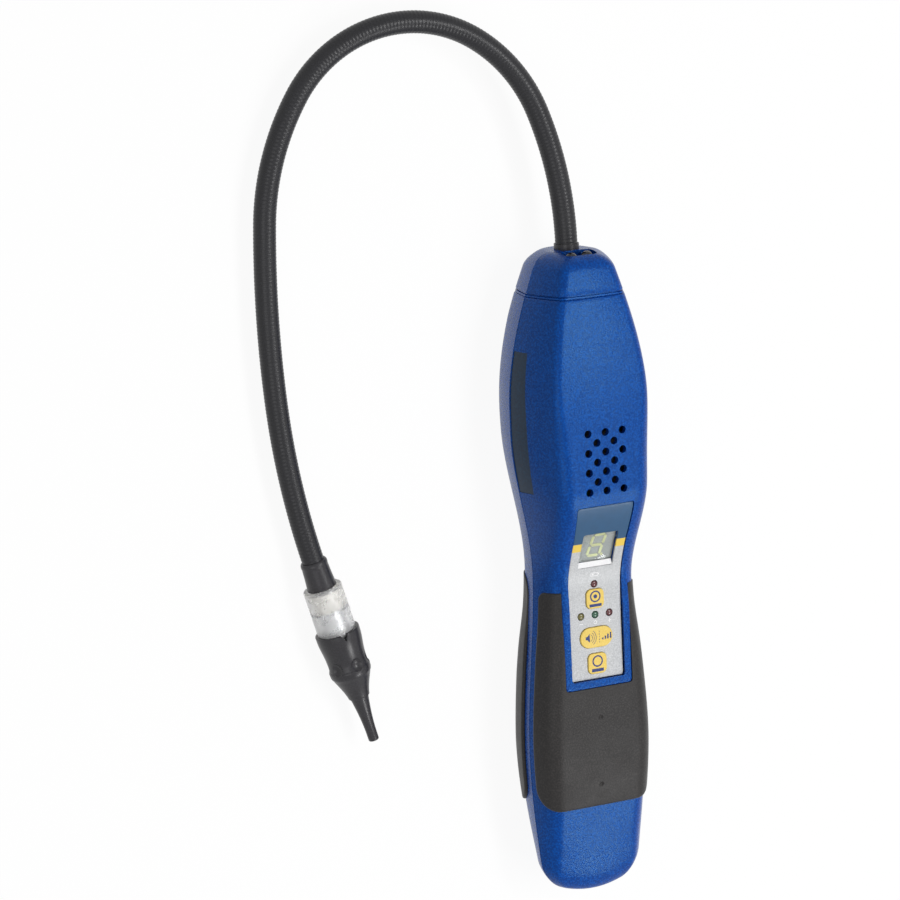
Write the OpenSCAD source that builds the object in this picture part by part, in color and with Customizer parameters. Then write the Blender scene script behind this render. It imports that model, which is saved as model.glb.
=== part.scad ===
/* [Housing] */
// Length of the housing from its foot to the top of the end cap
body_l = 236; // [228:1:246]
// Width across the parting line at the grip
grip_w = 47.6; // [46:0.2:52]
// Width across the parting line at the waist
waist_w = 40; // [38:0.2:44]
// Width across the parting line at the head
head_w = 54; // [50:0.2:60]
// Height of the parting line above the lowest point of the back
seam_z = 19; // [18.6:0.1:21]
// Rise of the front face above the parting line at the grip
grip_rise = 10.5; // [10.2:0.1:13]
// Rise of the front face above the parting line at the head
head_rise = 22; // [20:0.2:26]
// Thickness of the moulded walls
wall = 2; // [1.6:0.1:2.2]
// Radius of the front corners
front_round = 6.5; // [5:0.1:7]
// Radius of the back corners
back_round = 9; // [7:0.1:10]
// Length of the end cap
cap_l = 14; // [12:0.5:18]

/* [Front panel] */
// Width of the panel film
panel_w = 21.6; // [20:0.2:24]
// Length of the panel film
panel_l = 67; // [66:0.5:70]
// Side of the lamp key
lamp_key_w = 7.3; // [6.6:0.1:7.4]
// Length of the sound key
sound_key_w = 13.4; // [12:0.2:14]
// Side of the power key
power_key_w = 7.7; // [7:0.1:8.4]
// Travel of the keys
key_travel = 0.5; // [0.3:0.05:0.5]
// Diameter of the speaker holes
grille_d = 2.9; // [2:0.1:3.1]
// Distance between the speaker holes of a row
grille_pitch = 7; // [6.5:0.1:7.4]

/* [Gooseneck] */
// Outer diameter of the gooseneck
neck_d = 8.2; // [7.6:0.1:9]
// Tilt of the gooseneck's plane towards the back
neck_tilt = 4.7; // [3:0.1:4.7]

/* [Sensor tip] */
// Outer diameter of the clear barrel
barrel_d = 14.2; // [13.6:0.1:15]
// Diameter of the tip cap's rim
tip_rim_d = 16.4; // [16:0.1:16.6]
// Diameter of the nozzle's end
nozzle_d = 3.8; // [3.4:0.1:5]
// Number of finger scoops round the tip cap
scoop_count = 6; // [3:1:8]

/* [Hidden] */
$fn = 48;
over = 1;                 // overrun of a cut past the face that it opens
small_fn = 32;

grip_t = 1.2;             // thickness of the rubber grips
flat_cut = 0.3;           // bow of the back that is cut to a flat at the grip and the head

// Stations along the housing where its sizes turn
width_shares = [0.2203, 0.5, 0.7288, 0.7627];
front_shares = [0.2542, 0.4746, 0.6441, 0.7288];
back_shares = [0.2797, 0.5339, 0.7966, 0.8559];
width_at = body_l*width_shares;
front_at = body_l*front_shares;
back_at = body_l*back_shares;
foot_half_w = 19.7;
top_half_w = 13.6;
foot_rise = 4;
waist_dip = 0.5;          // fall of the front face between the grip and the waist
top_rise = 13.5;
foot_drop = 11.5;
waist_lift = 3.6;         // height of the back at the waist
top_lift = 2.5;           // height of the back at the end cap's top
half_widths = [foot_half_w, grip_w/2, waist_w/2, head_w/2, top_half_w];
front_rises = [foot_rise, grip_rise, grip_rise - waist_dip, head_rise, top_rise];
back_drops = [foot_drop, seam_z - grip_t + flat_cut, seam_z - waist_lift, seam_z + flat_cut,
    seam_z - top_lift];
front_drafts = [1.5, 2, 2, 7, 3.4];
back_drafts = [1.5, 1.2, 1.2, 2, 1.5];
corner_share = 0.8;       // largest share of the rise that a corner takes
side_share = 0.4;         // share of the lean at half height, which bows the sides
corner_steps = 5;
turn_steps = 5;           // steps to the angle at which a side runs into its corner
foot_round = 7;
top_round = 6;
foot_shares = [0.4, 0.8]; // part of the end rounding that the front and the back take
groove_w = 1.4;
groove_d = 0.6;
cap_y = body_l - cap_l;
rest_y = (back_at[2] + back_at[3])/2;   // place of the origin, in the flat behind the head
grid_n = 32;
grid_0 = foot_round;
grid_dy = (cap_y - groove_w - grid_0)/grid_n;

function ease(t) = t*t*(3 - 2*t);

// A size along the housing: foot, grip, waist, head and end cap
function along(y, at, v) =
    y < at[0] ? v[0] + (v[1] - v[0])*sin(90*max(y, 0)/at[0])
    : y < at[1] ? v[1] + (v[2] - v[1])*ease((y - at[0])/(at[1] - at[0]))
    : y < at[2] ? v[2] + (v[3] - v[2])*ease((y - at[1])/(at[2] - at[1]))
    : y < at[3] ? v[3]
    : v[4] + (v[3] - v[4])*cos(90*(y - at[3])/(body_l - at[3]));

function quarter(r, d) = r - sqrt(max(0, r*r - d*d));
function end_inset(y) =
    y < foot_round ? quarter(foot_round, foot_round - y)
    : y > body_l - top_round ? quarter(top_round, y - body_l + top_round)
    : 0;

function half_width(y) = along(y, width_at, half_widths);
function front_rise(y) = along(y, front_at, front_rises);
function back_drop(y) = min(along(y, back_at, back_drops), seam_z - (y < back_at[1] ? grip_t : 0));

// Angle at which a bowed side runs into the corner of radius c round (x, z)
function side_turn(a, x, z, c, n) = n == 0 ? 0
    : let (t = side_turn(a, x, z, c, n - 1))
    atan((3 - 4*side_share)*(a - x - c*cos(t))/(z + c*sin(t)));

// Half outline of a section, from the right end of the parting line over to the left
function ring(a, h, c, d) =
    let (x = a - d - c, z = h - c, t_0 = side_turn(a, x, z, c, turn_steps),
        side_x = a - (a - x - c*cos(t_0))*side_share, side_z = (z + c*sin(t_0))/2,
        turns = [for (k = [0:corner_steps]) t_0 + (90 - t_0)*k/corner_steps])
    concat([[a, 0], [side_x, side_z]],
        [for (t = turns) [x + c*cos(t), z + c*sin(t)]],
        [for (t = flip(turns)) [-x - c*cos(t), z + c*sin(t)]],
        [[-side_x, side_z], [-a, 0]]);

function half_ring(back, y, inset) =
    let (e = end_inset(y), share = y < cap_y ? foot_shares[back] : 1,
        a = half_width(y) - e - inset,
        h = (back == 1 ? back_drop(y) : front_rise(y)) - e*share - inset,
        d = along(y, width_at, back == 1 ? back_drafts : front_drafts),
        c = min(back == 1 ? back_round : front_round, corner_share*h, corner_share*(a - d)))
    ring(a, h, c, d);

ring_n = 2*corner_steps + 6;
grid_ys = [for (k = [0:grid_n]) grid_0 + grid_dy*k];
foot_angles = [for (k = [0:3]) 22.5*k];
outer_stations = concat([for (t = foot_angles) [foot_round*(1 - cos(t)), 0]],
    [for (y = grid_ys) [y, 0]], [[cap_y - groove_w, groove_d], [cap_y, groove_d]]);
station_n = len(outer_stations);
inner_stations = [for (k = [0:station_n - 1]) [wall + (cap_y - 2*wall)*k/(station_n - 1), wall]];

function flip(list) = [for (k = [len(list) - 1:-1:0]) list[k]];

// Triangles between two rows of points that start at a and b
function strip(a, b, n) = [for (j = [0:n - 2]) each
    [[a + j, a + j + 1, b + j + 1], [a + j, b + j + 1, b + j]]];
function turned(faces) = [for (f = faces) flip(f)];

// One half of the housing as a closed shell, open towards the parting plane
module half_shell(back) {
    outer = [for (s = outer_stations) for (p = half_ring(back, s[0], s[1])) [p[0], s[0], p[1]]];
    inner = [for (s = inner_stations) for (p = half_ring(back, s[0], s[1])) [p[0], s[0], p[1]]];
    m = station_n*ring_n;
    n = ring_n;
    last = (station_n - 1)*n;
    walls = [for (i = [0:station_n - 2]) each strip(i*n, (i + 1)*n, n)];
    lining = [for (i = [0:station_n - 2]) each turned(strip(m + i*n, m + (i + 1)*n, n))];
    rims = [for (i = [0:station_n - 2]) let (a = i*n, b = (i + 1)*n) each
        [[a, b, m + b, m + a], [b + n - 1, a + n - 1, m + a + n - 1, m + b + n - 1]]];
    ends = [flip([for (j = [0:n - 1]) j]), [for (j = [0:n - 1]) last + j],
        [for (j = [0:n - 1]) m + j], flip([for (j = [0:n - 1]) m + last + j]),
        [n - 1, 0, m, m + n - 1], [last, last + n - 1, m + last + n - 1, m + last]];
    translate([0, 0, seam_z]) mirror([0, 0, back])
        polyhedron(concat(outer, inner), concat(walls, lining, rims, ends));
}

// A layer that follows the housing's face between two insets and two places along it
module skin(back, y_0, y_1, inset_0, inset_1, j_0, j_1) {
    ys = concat([y_0], [for (y = grid_ys) if (y > y_0 && y < y_1) y], [y_1]);
    s = len(ys);
    n = j_1 - j_0 + 1;
    top = [for (y = ys) let (r = half_ring(back, y, inset_0)) for (j = [j_0:j_1])
        [r[j][0], y, r[j][1]]];
    under = [for (y = ys) let (r = half_ring(back, y, inset_1)) for (j = [j_0:j_1])
        [r[j][0], y, r[j][1]]];
    m = s*n;
    last = (s - 1)*n;
    faces = concat([for (i = [0:s - 2]) each strip(i*n, (i + 1)*n, n)],
        [for (i = [0:s - 2]) each turned(strip(m + i*n, m + (i + 1)*n, n))],
        [for (i = [0:s - 2]) let (a = i*n, b = (i + 1)*n) each
            [[a, b, m + b], [a, m + b, m + a],
            [b + n - 1, a + n - 1, m + a + n - 1], [b + n - 1, m + a + n - 1, m + b + n - 1]]],
        [for (j = [0:n - 2]) each [[j + 1, j, m + j], [j + 1, m + j, m + j + 1],
            [last + j, last + j + 1, m + last + j + 1], [last + j, m + last + j + 1, m + last + j]]]);
    translate([0, 0, seam_z]) mirror([0, 0, back]) polyhedron(concat(top, under), faces);
}

// Height of the front face as the shell's flat steps have it
function grid_rise(y) =
    let (k = floor((y - grid_0)/grid_dy), t = (y - grid_0)/grid_dy - k)
    front_rise(grid_0 + grid_dy*k)*(1 - t) + front_rise(grid_0 + grid_dy*(k + 1))*t;
function front_z(y) = seam_z + grid_rise(y);
function slope_at(y) = atan((front_z(y + over) - front_z(y - over))/(2*over));

// A layer along the front face, across the whole width, that may run out over its last stretch
module band(y_0, y_1, off_0, off_1, fade = 0) {
    ys = concat([y_0], [for (y = grid_ys) if (y > y_0 && y < y_1) y], [y_1]);
    shares = [for (y = ys) fade == 0 ? 1 : 1 - ease(max(0, (y - y_1 + fade)/fade))];
    last = len(ys) - 1;
    translate([-head_w/2, 0, 0]) rotate([90, 0, 90]) linear_extrude(head_w)
        polygon(concat([for (y = ys) [y, front_z(y) + off_0]],
            [for (k = [last:-1:0]) [ys[k], front_z(ys[k]) + off_1 - (1 - shares[k])*(off_1 + wall/4)]]));
}

// Outline of a rectangle with round corners, as points
function corner(x, y, r, t) = [for (k = [0:corner_steps]) let (u = t + 90*k/corner_steps)
    [x + r*cos(u), y + r*sin(u)]];
function round_rect(w, h, r) = concat(corner(w/2 - r, h/2 - r, r, 0), corner(r - w/2, h/2 - r, r, 90),
    corner(r - w/2, r - h/2, r, 180), corner(w/2 - r, r - h/2, r, 270));
module round_block(w, h, r, t) { linear_extrude(t) polygon(round_rect(w, h, r)); }
module in_frame() { translate([0, -rest_y, 0]) children(); }
module tube(r_out, r_in, h) {
    difference() {
        cylinder(r = r_out, h = h);
        translate([0, 0, -over]) cylinder(r = r_in, h = h + 2*over);
    }
}

// Front panel
panel_share = 0.3305;
panel_y = body_l*panel_share;
panel_top_w = 23;
panel_flare = 52;
panel_flare_y = panel_y + panel_flare;
panel_depth = 1;
film_t = 0.7;
panel_round = 1.6;
frame_w = 28;
frame_rise = 0.9;
frame_margin = 3.4;
frame_y = panel_y - frame_margin;
frame_l = 47.4;
frame_fade = 18;          // length over which the frame runs out into the housing
frame_round = 3;
gap = 0.25;
window_w = 14.4;
window_l = 13;
window_rise = 50;
window_y = panel_y + window_rise;
led_r = 1.2;
led_rises = [35.6, 24];
led_ys = [panel_y + led_rises[0], panel_y + led_rises[1]];
led_pitch = 5.9;
led_xs = [0, -led_pitch, 0, led_pitch];
key_rises = [30.1, 15.6, 5.7];
lamp_y = panel_y + key_rises[0];
sound_y = panel_y + key_rises[1];
power_y = panel_y + key_rises[2];
sound_key_h = 7.7;
key_round = 1.8;
key_proud = 0.5;
key_play = 0.05;
sound_stem_xs = [-sound_key_w/4, sound_key_w/4];
stem_r = 1;

function panel_outline(grow) =
    let (a = panel_w/2 + grow, b = panel_top_w/2 + grow, r = panel_round, y_1 = panel_y + panel_l + grow)
    concat(corner(b - r, y_1 - r, r, 0), corner(r - b, y_1 - r, r, 90), [[-a, panel_flare_y]],
        corner(r - a, panel_y - grow + r, r, 180), corner(a - r, panel_y - grow + r, r, 270),
        [[a, panel_flare_y]]);
module panel_prism(grow) { linear_extrude(2*seam_z + head_rise) polygon(panel_outline(grow)); }
module key_holes(grow) {
    for (k = [[lamp_y, lamp_key_w, lamp_key_w], [sound_y, sound_key_w, sound_key_h],
            [power_y, power_key_w, power_key_w]])
        translate([0, k[0], seam_z])
        round_block(k[1] + 2*grow, k[2] + 2*grow, key_round, head_rise);
}
module led_holes(r) {
    for (k = [0:3]) translate([led_xs[k], led_ys[min(k, 1)], seam_z + grip_rise/2])
        cylinder(r = r, h = head_rise, $fn = small_fn);
}

// Speaker grille: rows of three and two holes in turn
grille_gap = 5.8;
grille_y = panel_y + panel_l + grille_gap;
grille_row = 3.6;
module grille_holes() {
    for (row = [0:6])
        let (n = row % 2 == 0 ? 3 : 2) for (k = [0:n - 1])
        translate([(k - (n - 1)/2)*grille_pitch, grille_y + row*grille_row, seam_z + grip_rise])
        cylinder(d = grille_d, h = head_rise, $fn = small_fn);
}
speaker_y = grille_y + 3*grille_row;
speaker_r = 12.6;
speaker_t = 6;
speaker_clear = 1.4;
speaker_rim = 1;
speaker_seat_z = seam_z + head_rise - wall - speaker_clear;

// Case screws and their bosses
head_screw = [15, 33];    // sideways, and down from the top
waist_screw = [14, 6];    // sideways, and up from the middle of the window
foot_screw_y = 11.5;
screw_spots = concat([for (side = [-1, 1]) [side*head_screw[0], body_l - head_screw[1]]],
    [for (side = [-1, 1]) [side*waist_screw[0], window_y + waist_screw[1]]], [[0, foot_screw_y]]);
boss_r = 3.2;
boss_h = 9;
boss_rise = 2.8;          // start of a back boss above the back, where it runs into the side wall
rib_t = 1.2;
rib_h = 4;
pilot_r = 1.3;
pilot_l = 4.2;
screw_r = 1.5;
screw_head_r = 2.7;
screw_head_t = 2;
screw_grip = 8;           // plastic under the screw's head, down from the parting plane
module each_screw() { for (p = screw_spots) translate([p[0], p[1], seam_z]) children(); }

// Battery space
cell_r = 7.25;
cell_l = 50.5;
cell_x = 7.4;
tray_y = 20.5;
tray_half = 15;
tray_wall = 1;
tray_corner = 4.4;
cell_drop = 5.8;
cell_z = seam_z - cell_drop;
tray_top = cell_z + cell_r;
spring_l = 5;
plate_t = 0.5;
cell_y = tray_y + plate_t + spring_l;
plate_y = cell_y + 2*cell_l;
tray_end = plate_y + plate_t;
grip_shares = [0.1229, 0.3517, 0.1271, 0.3686];
front_grip_y = body_l*grip_shares[0];
front_grip_l = body_l*grip_shares[1];
back_grip_y = body_l*grip_shares[2];
back_grip_l = body_l*grip_shares[3];
door_w = 29;
door_margin = 3.5;
door_y = back_grip_y + door_margin;
door_l = back_grip_l - 2*door_margin;
door_round = 6;
door_gap = 0.3;
grip_round = 8;
arm_round = 3.5;
board_clear = 0.75;
board_z = tray_top + tray_wall + board_clear;
board_t = 1.6;
board_top = board_z + board_t;
board_margin = 2;
board_y = panel_y - board_margin;
board_half = 13.8;
board_neck_half = 10.4;
board_step = 46;
board_step_y = board_y + board_step;
board_l = 98;
dome_t = 0.8;
stake_r = 1.5;
stake_x = 12;
stake_rises = [3.5, 41.5];
stake_ys = [board_y + stake_rises[0], board_y + stake_rises[1]];
stake_spots = [for (x = [-stake_x, stake_x], y = stake_ys) [x, y]];

function back_z(y) = seam_z - back_drop(y);
function rib_reach(p) = half_width(p[1]) - along(p[1], width_at, front_drafts)*side_share
    - wall/2 - abs(p[0]);
function tray_foot(y) = back_z(y) + wall*sink_share + quarter(back_round,
    max(0, tray_half + tray_wall/2 - half_width(y) + along(y, width_at, back_drafts) + wall + back_round));
sink_share = 0.8;         // part of the wall that an inner rib stands clear of the outside
tray_steps = [for (k = [0:12]) tray_y + (tray_end - tray_y)*k/12];
module door_prism(grow) {
    translate([0, door_y + door_l/2, -over])
        round_block(door_w + 2*grow, door_l + 2*grow, door_round, over + seam_z/2);
}
function front_grip_outline() =
    let (y_0 = front_grip_y, y_1 = front_grip_y + front_grip_l, a = half_width(width_at[0]) + grip_t,
        b = half_width(y_1) + grip_t)
    concat(corner(b - arm_round, y_1 - arm_round, arm_round, 0),
        corner(arm_round - b, y_1 - arm_round, arm_round, 90),
        corner(grip_round - a, y_0 + grip_round, grip_round, 180),
        corner(a - grip_round, y_0 + grip_round, grip_round, 270));
dimple_shares = [0.104, 0.416];
dimple_ys = [for (k = dimple_shares) front_grip_y + front_grip_l*k];
dimple_r = 1.2;
dimple_depth = 0.4;
label_depth = 0.5;
label_t = 0.35;
label_top = 40;           // down from the top of the housing
label_l = 50;
label_shares = [0.12, 0.94];

// Display under its window
window_depth = 5;
digit_depth = 2.4;
digit_t = 4.6;
digit_lip = 0.8;
digit_w = 5;
digit_h = 9;
digit_slant = 0.17;
bar_t = 1.1;
bar_gap = 0.5;
segment_t = 0.15;
lens_t = 0.8;
pin_x = 5;
pin_y = 3.5;
pin_r = 0.4;
led_foot = 1;
flange_t = 0.8;
flange_lip = 0.4;
dome_r = 2.2;
speaker_lip = 2.5;
magnet_share = 0.55;
cone_r_share = 0.9;
cone_share = 0.16;
nub_l = 1;
nub_r = 2.7;
plate_half = 4.5;
spring_turns = 4;
spring_r = 4;
spring_step = 0.35;         // each ring is narrower than the one before by this
spring_wire = 0.7;
cross_l = 3;
cross_w = 0.7;
cross_depth = 1.1;
thread_end = 0.5;
module at_window() {
    translate([0, window_y, front_z(window_y)]) rotate([slope_at(window_y), 0, 0]) children();
}

// End cap with the lamps' dish and the gooseneck's hole
cap_top = 5.5;
neck_drop = 3;
neck_z = seam_z - neck_drop;
conduit_r = 3.2;
collar_wall = 0.5;
collar_r = neck_d/2 + collar_wall;
collar_sink = 2;
collar_out = 2;
nut_r = 6;
nut_t = 2.5;
dish_w = 13;
dish_h = 8;
dish_rise = 6.2;
dish_z = seam_z + dish_rise;
dish_round = 3;
dish_depth = 2.5;
lamp_x = 3.2;
lamp_xs = [-lamp_x, lamp_x];
lamp_rise = 6.4;
lamp_z = seam_z + lamp_rise;
lamp_r = 2.5;
lamp_out = 0.2;
lamp_board_w = 14;
lamp_board_h = 8;
cavity_w = 24;
cavity_h = 22;
cavity_round = 8;

function full_ring(y, inset) = let (f = half_ring(0, y, inset), b = half_ring(1, y, inset))
    concat([for (p = f) [p[0], y, seam_z + p[1]]],
        [for (k = [ring_n - 2:-1:1]) [b[k][0], y, seam_z - b[k][1]]]);
module cap_loft() {
    ys = concat([cap_y, cap_y + cap_l/4], [for (k = [0:4]) body_l - top_round*(1 - sin(22.5*k))]);
    n = 2*ring_n - 2;
    s = len(ys);
    faces = concat([for (i = [0:s - 2], j = [0:n - 1]) let (a = i*n + j, b = i*n + (j + 1) % n) each
            [[a, b, b + n], [a, b + n, a + n]]],
        [for (j = [0:n - 1]) let (k = (j + 1) % n) each
            [[(s - 1)*n + j, (s - 1)*n + k, s*n], [k, j, s*n + 1]]]);
    middles = [[0, body_l, seam_z], [0, cap_y, seam_z]];
    polyhedron(concat([for (y = ys) each full_ring(y, 0)], middles), faces);
}

module label_patch(inset_0, inset_1) {
    y_0 = body_l - label_top - label_l;
    y_1 = body_l - label_top;
    low = label_shares[0];
    high = label_shares[1];
    ys = concat([y_0], [for (y = grid_ys) if (y > y_0 && y < y_1) y], [y_1]);
    s = len(ys);
    pts = [for (y = ys) let (r = half_ring(0, y, inset_0), q = half_ring(0, y, inset_1),
            a = r[ring_n - 1], b = r[ring_n - 2] - a, c = q[ring_n - 1], d = q[ring_n - 2] - c)
        each [for (p = [a + b*high, a + b*low, c + d*low, c + d*high]) [p[0], y, p[1]]]];
    faces = concat([[3, 2, 1], [3, 1, 0]],
        [for (i = [0:s - 2]) for (j = [0:3]) let (a = 4*i, b = 4*i + 4, k = (j + 1) % 4) each
            [[a + j, a + k, b + k], [a + j, b + k, b + j]]],
        [[4*s - 4, 4*s - 3, 4*s - 2], [4*s - 4, 4*s - 2, 4*s - 1]]);
    translate([0, 0, seam_z]) polyhedron(pts, faces);
}

module front_shell() {
    color("#2b4da8") in_frame() difference() {
        union() {
            half_shell(0);
            intersection() {
                translate([0, frame_y + frame_l/2, seam_z])
                    round_block(frame_w, frame_l, frame_round, head_rise);
                band(frame_y - over, frame_y + frame_l + over, -wall/2, frame_rise, frame_fade);
            }
            translate([0, speaker_y, speaker_seat_z])
                cylinder(r = speaker_r + speaker_rim, h = seam_z + head_rise - wall/2 - speaker_seat_z);
            for (p = screw_spots) translate([p[0], p[1], seam_z]) {
                cylinder(r = boss_r, h = min(boss_h, grid_rise(p[1]) - wall/2), $fn = small_fn);
                mirror([p[0] < 0 ? 1 : 0, 0, 0]) translate([0, -rib_t/2, 0])
                    cube([p[0] == 0 ? boss_r : rib_reach(p), rib_t, rib_h]);
            }
            for (p = stake_spots) translate([p[0], p[1], board_top])
                cylinder(r = stake_r, h = front_z(p[1]) - wall/2 - board_top, $fn = small_fn);
        }
        intersection() {
            panel_prism(gap);
            band(panel_y - over, panel_y + panel_l + over, -panel_depth, frame_rise + over);
        }
        key_holes(gap);
        at_window() translate([0, 0, -window_depth])
            round_block(window_w, window_l, panel_round/2, 2*window_depth);
        led_holes(led_r + gap/2);
        grille_holes();
        label_patch(-over, label_depth);
        each_screw() translate([0, 0, -over]) cylinder(r = pilot_r, h = over + pilot_l, $fn = small_fn);
    }
}

module rear_shell() {
    color("#2b4da8") in_frame() difference() {
        union() {
            half_shell(1);
            for (p = screw_spots) let (rise = p[0] == 0 ? wall*sink_share : boss_rise)
                translate([p[0], p[1], back_z(p[1]) + rise])
                cylinder(r = boss_r, h = back_drop(p[1]) - rise, $fn = small_fn);
            for (side = [0, 1]) mirror([side, 0, 0]) translate([tray_half, 0, 0]) rotate([90, 0, 90])
                linear_extrude(tray_wall) polygon(concat(
                    [for (y = tray_steps) [y, tray_foot(y)]],
                    [[tray_end, tray_top + tray_wall], [tray_y, tray_top + tray_wall]]));
            for (y = [tray_y - tray_wall, tray_end]) {
                translate([-tray_half - tray_wall, y, back_z(y) + tray_corner])
                    cube([2*(tray_half + tray_wall), tray_wall, tray_top - back_z(y) - tray_corner]);
                translate([-door_w/2 + wall, y, back_z(y) + wall/2])
                    cube([door_w - 2*wall, tray_wall, tray_corner]);
            }
            translate([-tray_half - tray_wall, tray_y - tray_wall, tray_top])
                cube([2*(tray_half + tray_wall), tray_end - tray_y + 2*tray_wall, tray_wall]);
        }
        door_prism(door_gap);
        each_screw() {
            translate([0, 0, -seam_z - over])
                cylinder(r = screw_head_r + gap, h = seam_z + over - screw_grip);
            translate([0, 0, -seam_z]) cylinder(r = screw_r + gap/2, h = 2*seam_z, $fn = small_fn);
        }
    }
}

module end_cap() {
    color("#2b4da8") in_frame() difference() {
        cap_loft();
        translate([0, cap_y - over, seam_z]) rotate([-90, 0, 0])
            round_block(cavity_w, cavity_h, cavity_round, over + cap_l - cap_top);
        translate([0, body_l + over, neck_z]) rotate([90, 0, 0]) {
            cylinder(r = conduit_r, h = cap_top + 2*over);
            cylinder(r = collar_r, h = over + collar_sink);
        }
        translate([0, body_l + over, dish_z]) rotate([90, 0, 0])
            round_block(dish_w, dish_h, dish_round, over + dish_depth);
        for (x = lamp_xs) translate([x, body_l + over, lamp_z]) rotate([90, 0, 0])
            cylinder(r = lamp_r, h = cap_top + 2*over);
    }
}

module front_grip() {
    slot_l = max(frame_y + frame_l, front_grip_y + front_grip_l) - frame_y + 2*frame_round;
    color("#3a3330") in_frame() difference() {
        intersection() {
            skin(0, front_grip_y, front_grip_y + front_grip_l, -grip_t, 0, 1, ring_n - 2);
            translate([0, 0, seam_z - over]) linear_extrude(2*seam_z) polygon(front_grip_outline());
        }
        translate([0, frame_y + slot_l/2, seam_z - over])
            linear_extrude(2*seam_z) polygon(round_rect(frame_w, slot_l, frame_round));
        for (y = dimple_ys) translate([0, y, front_z(y) + grip_t - dimple_depth])
            cylinder(r = dimple_r, h = over, $fn = small_fn);
    }
}

module rear_grip() {
    color("#3a3330") in_frame() difference() {
        intersection() {
            skin(1, back_grip_y, back_grip_y + back_grip_l, -grip_t, 0, 1, ring_n - 2);
            translate([0, back_grip_y + back_grip_l/2, -over])
                linear_extrude(seam_z) polygon(round_rect(grip_w + 2*grip_t, back_grip_l, grip_round));
        }
        door_prism(door_gap);
    }
}

module battery_door() {
    color("#2b4da8") in_frame() intersection() {
        skin(1, door_y - over, door_y + door_l + over, -grip_t, wall, 3, ring_n - 4);
        door_prism(0);
    }
}

module panel_film() {
    color("#b9bcc2") in_frame() difference() {
        intersection() {
            panel_prism(0);
            band(panel_y - over, panel_y + panel_l + over, -panel_depth, film_t - panel_depth);
        }
        key_holes(gap);
        at_window() translate([0, 0, -window_depth])
            round_block(window_w, window_l, panel_round/2, 2*window_depth);
        led_holes(led_r + gap/2);
    }
}

module display_window() {
    color("#dfe6ea", 0.4) in_frame() at_window() translate([0, 0, -digit_depth + segment_t])
        round_block(window_w - gap, window_l - gap, panel_round/2, lens_t);
}

module digit_display() {
    color("#8b8f94") in_frame() {
        at_window() translate([0, 0, -digit_depth - digit_t])
            round_block(window_w + 2*digit_lip, window_l + 2*digit_lip, panel_round/2, digit_t);
        for (x = [-pin_x, pin_x], y = [window_y - pin_y, window_y + pin_y])
            translate([x, y, board_top])
            cylinder(r = pin_r, h = front_z(y) - digit_depth - digit_t/2 - board_top, $fn = small_fn);
    }
}

// Seven bars and a point, slanted as on the real digit
module bar(w, h) {
    linear_extrude(segment_t) polygon([[-w/2, 0], [h/2 - w/2, h/2], [w/2 - h/2, h/2], [w/2, 0],
        [w/2 - h/2, -h/2], [h/2 - w/2, -h/2]]);
}
module digit_segments() {
    color("#dfe7a8") in_frame() at_window() translate([0, 0, -digit_depth]) {
        for (row = [-1:1]) translate([row*digit_h/2*digit_slant, row*digit_h/2, 0])
            bar(digit_w - bar_gap, bar_t);
        for (row = [-1, 1], side = [-1, 1])
            translate([side*digit_w/2 + row*digit_h/4*digit_slant, row*digit_h/4, 0])
            rotate([0, 0, 90 - atan(digit_slant)]) bar(digit_h/2 - bar_gap, bar_t);
        translate([digit_w/2 + bar_t - digit_h/2*digit_slant, -digit_h/2, 0])
            cylinder(r = bar_t/2, h = segment_t, $fn = small_fn);
    }
}

module status_led(k, c) {
    color(c) in_frame() translate([led_xs[k], led_ys[min(k, 1)], board_top]) {
        cylinder(r = led_r, h = front_z(led_ys[min(k, 1)]) - board_top, $fn = small_fn);
        cylinder(r = led_r + gap, h = led_foot, $fn = small_fn);
    }
}
module status_led_1() { status_led(0, "#8a1420"); }
module status_led_2() { status_led(1, "#8c8a1e"); }
module status_led_3() { status_led(2, "#2f9a4c"); }
module status_led_4() { status_led(3, "#8a1420"); }

// A key with the flange that keeps it behind the front wall, and stems over its switches
module key(y, w, h, stem_xs) {
    z = front_z(y + h/2) - wall - key_play - flange_t;
    stem_z = board_top + dome_t + key_travel + key_play;
    color("#f0cd4c") in_frame() translate([0, y, 0]) {
        translate([0, 0, z]) round_block(w + 2*flange_lip, h + 2*flange_lip, key_round, flange_t);
        translate([0, 0, z]) round_block(w, h, key_round, key_play + wall + flange_t + key_proud);
        for (x = stem_xs) translate([x, 0, stem_z])
            cylinder(r = stem_r, h = z + flange_t/2 - stem_z, $fn = small_fn);
    }
}
module lamp_key() { key(lamp_y, lamp_key_w, lamp_key_w, [0]); }
module sound_key() { key(sound_y, sound_key_w, sound_key_h, sound_stem_xs); }
module power_key() { key(power_y, power_key_w, power_key_w, [0]); }

module dome_switches() {
    spots = concat([[0, lamp_y], [0, power_y]], [for (x = sound_stem_xs) [x, sound_y]]);
    color("silver") in_frame() for (p = spots)
        translate([p[0], p[1], board_top]) cylinder(r1 = dome_r, r2 = dome_r/2, h = dome_t, $fn = small_fn);
}

module main_board() {
    color("#1f5a34") in_frame() translate([0, 0, board_z]) {
        translate([-board_half, board_y, 0]) cube([2*board_half, board_step_y - board_y, board_t]);
        translate([-board_neck_half, board_step_y - over, 0])
            cube([2*board_neck_half, board_y + board_l - board_step_y + over, board_t]);
    }
}

module speaker() {
    color("#24262a") in_frame() translate([0, speaker_y, speaker_seat_z - speaker_t]) difference() {
        union() {
            translate([0, 0, speaker_t - speaker_lip]) cylinder(r = speaker_r, h = speaker_lip);
            cylinder(r = speaker_r*magnet_share, h = speaker_t - speaker_lip);
        }
        translate([0, 0, speaker_t]) scale([1, 1, cone_share]) sphere(r = speaker_r*cone_r_share);
    }
}

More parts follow.
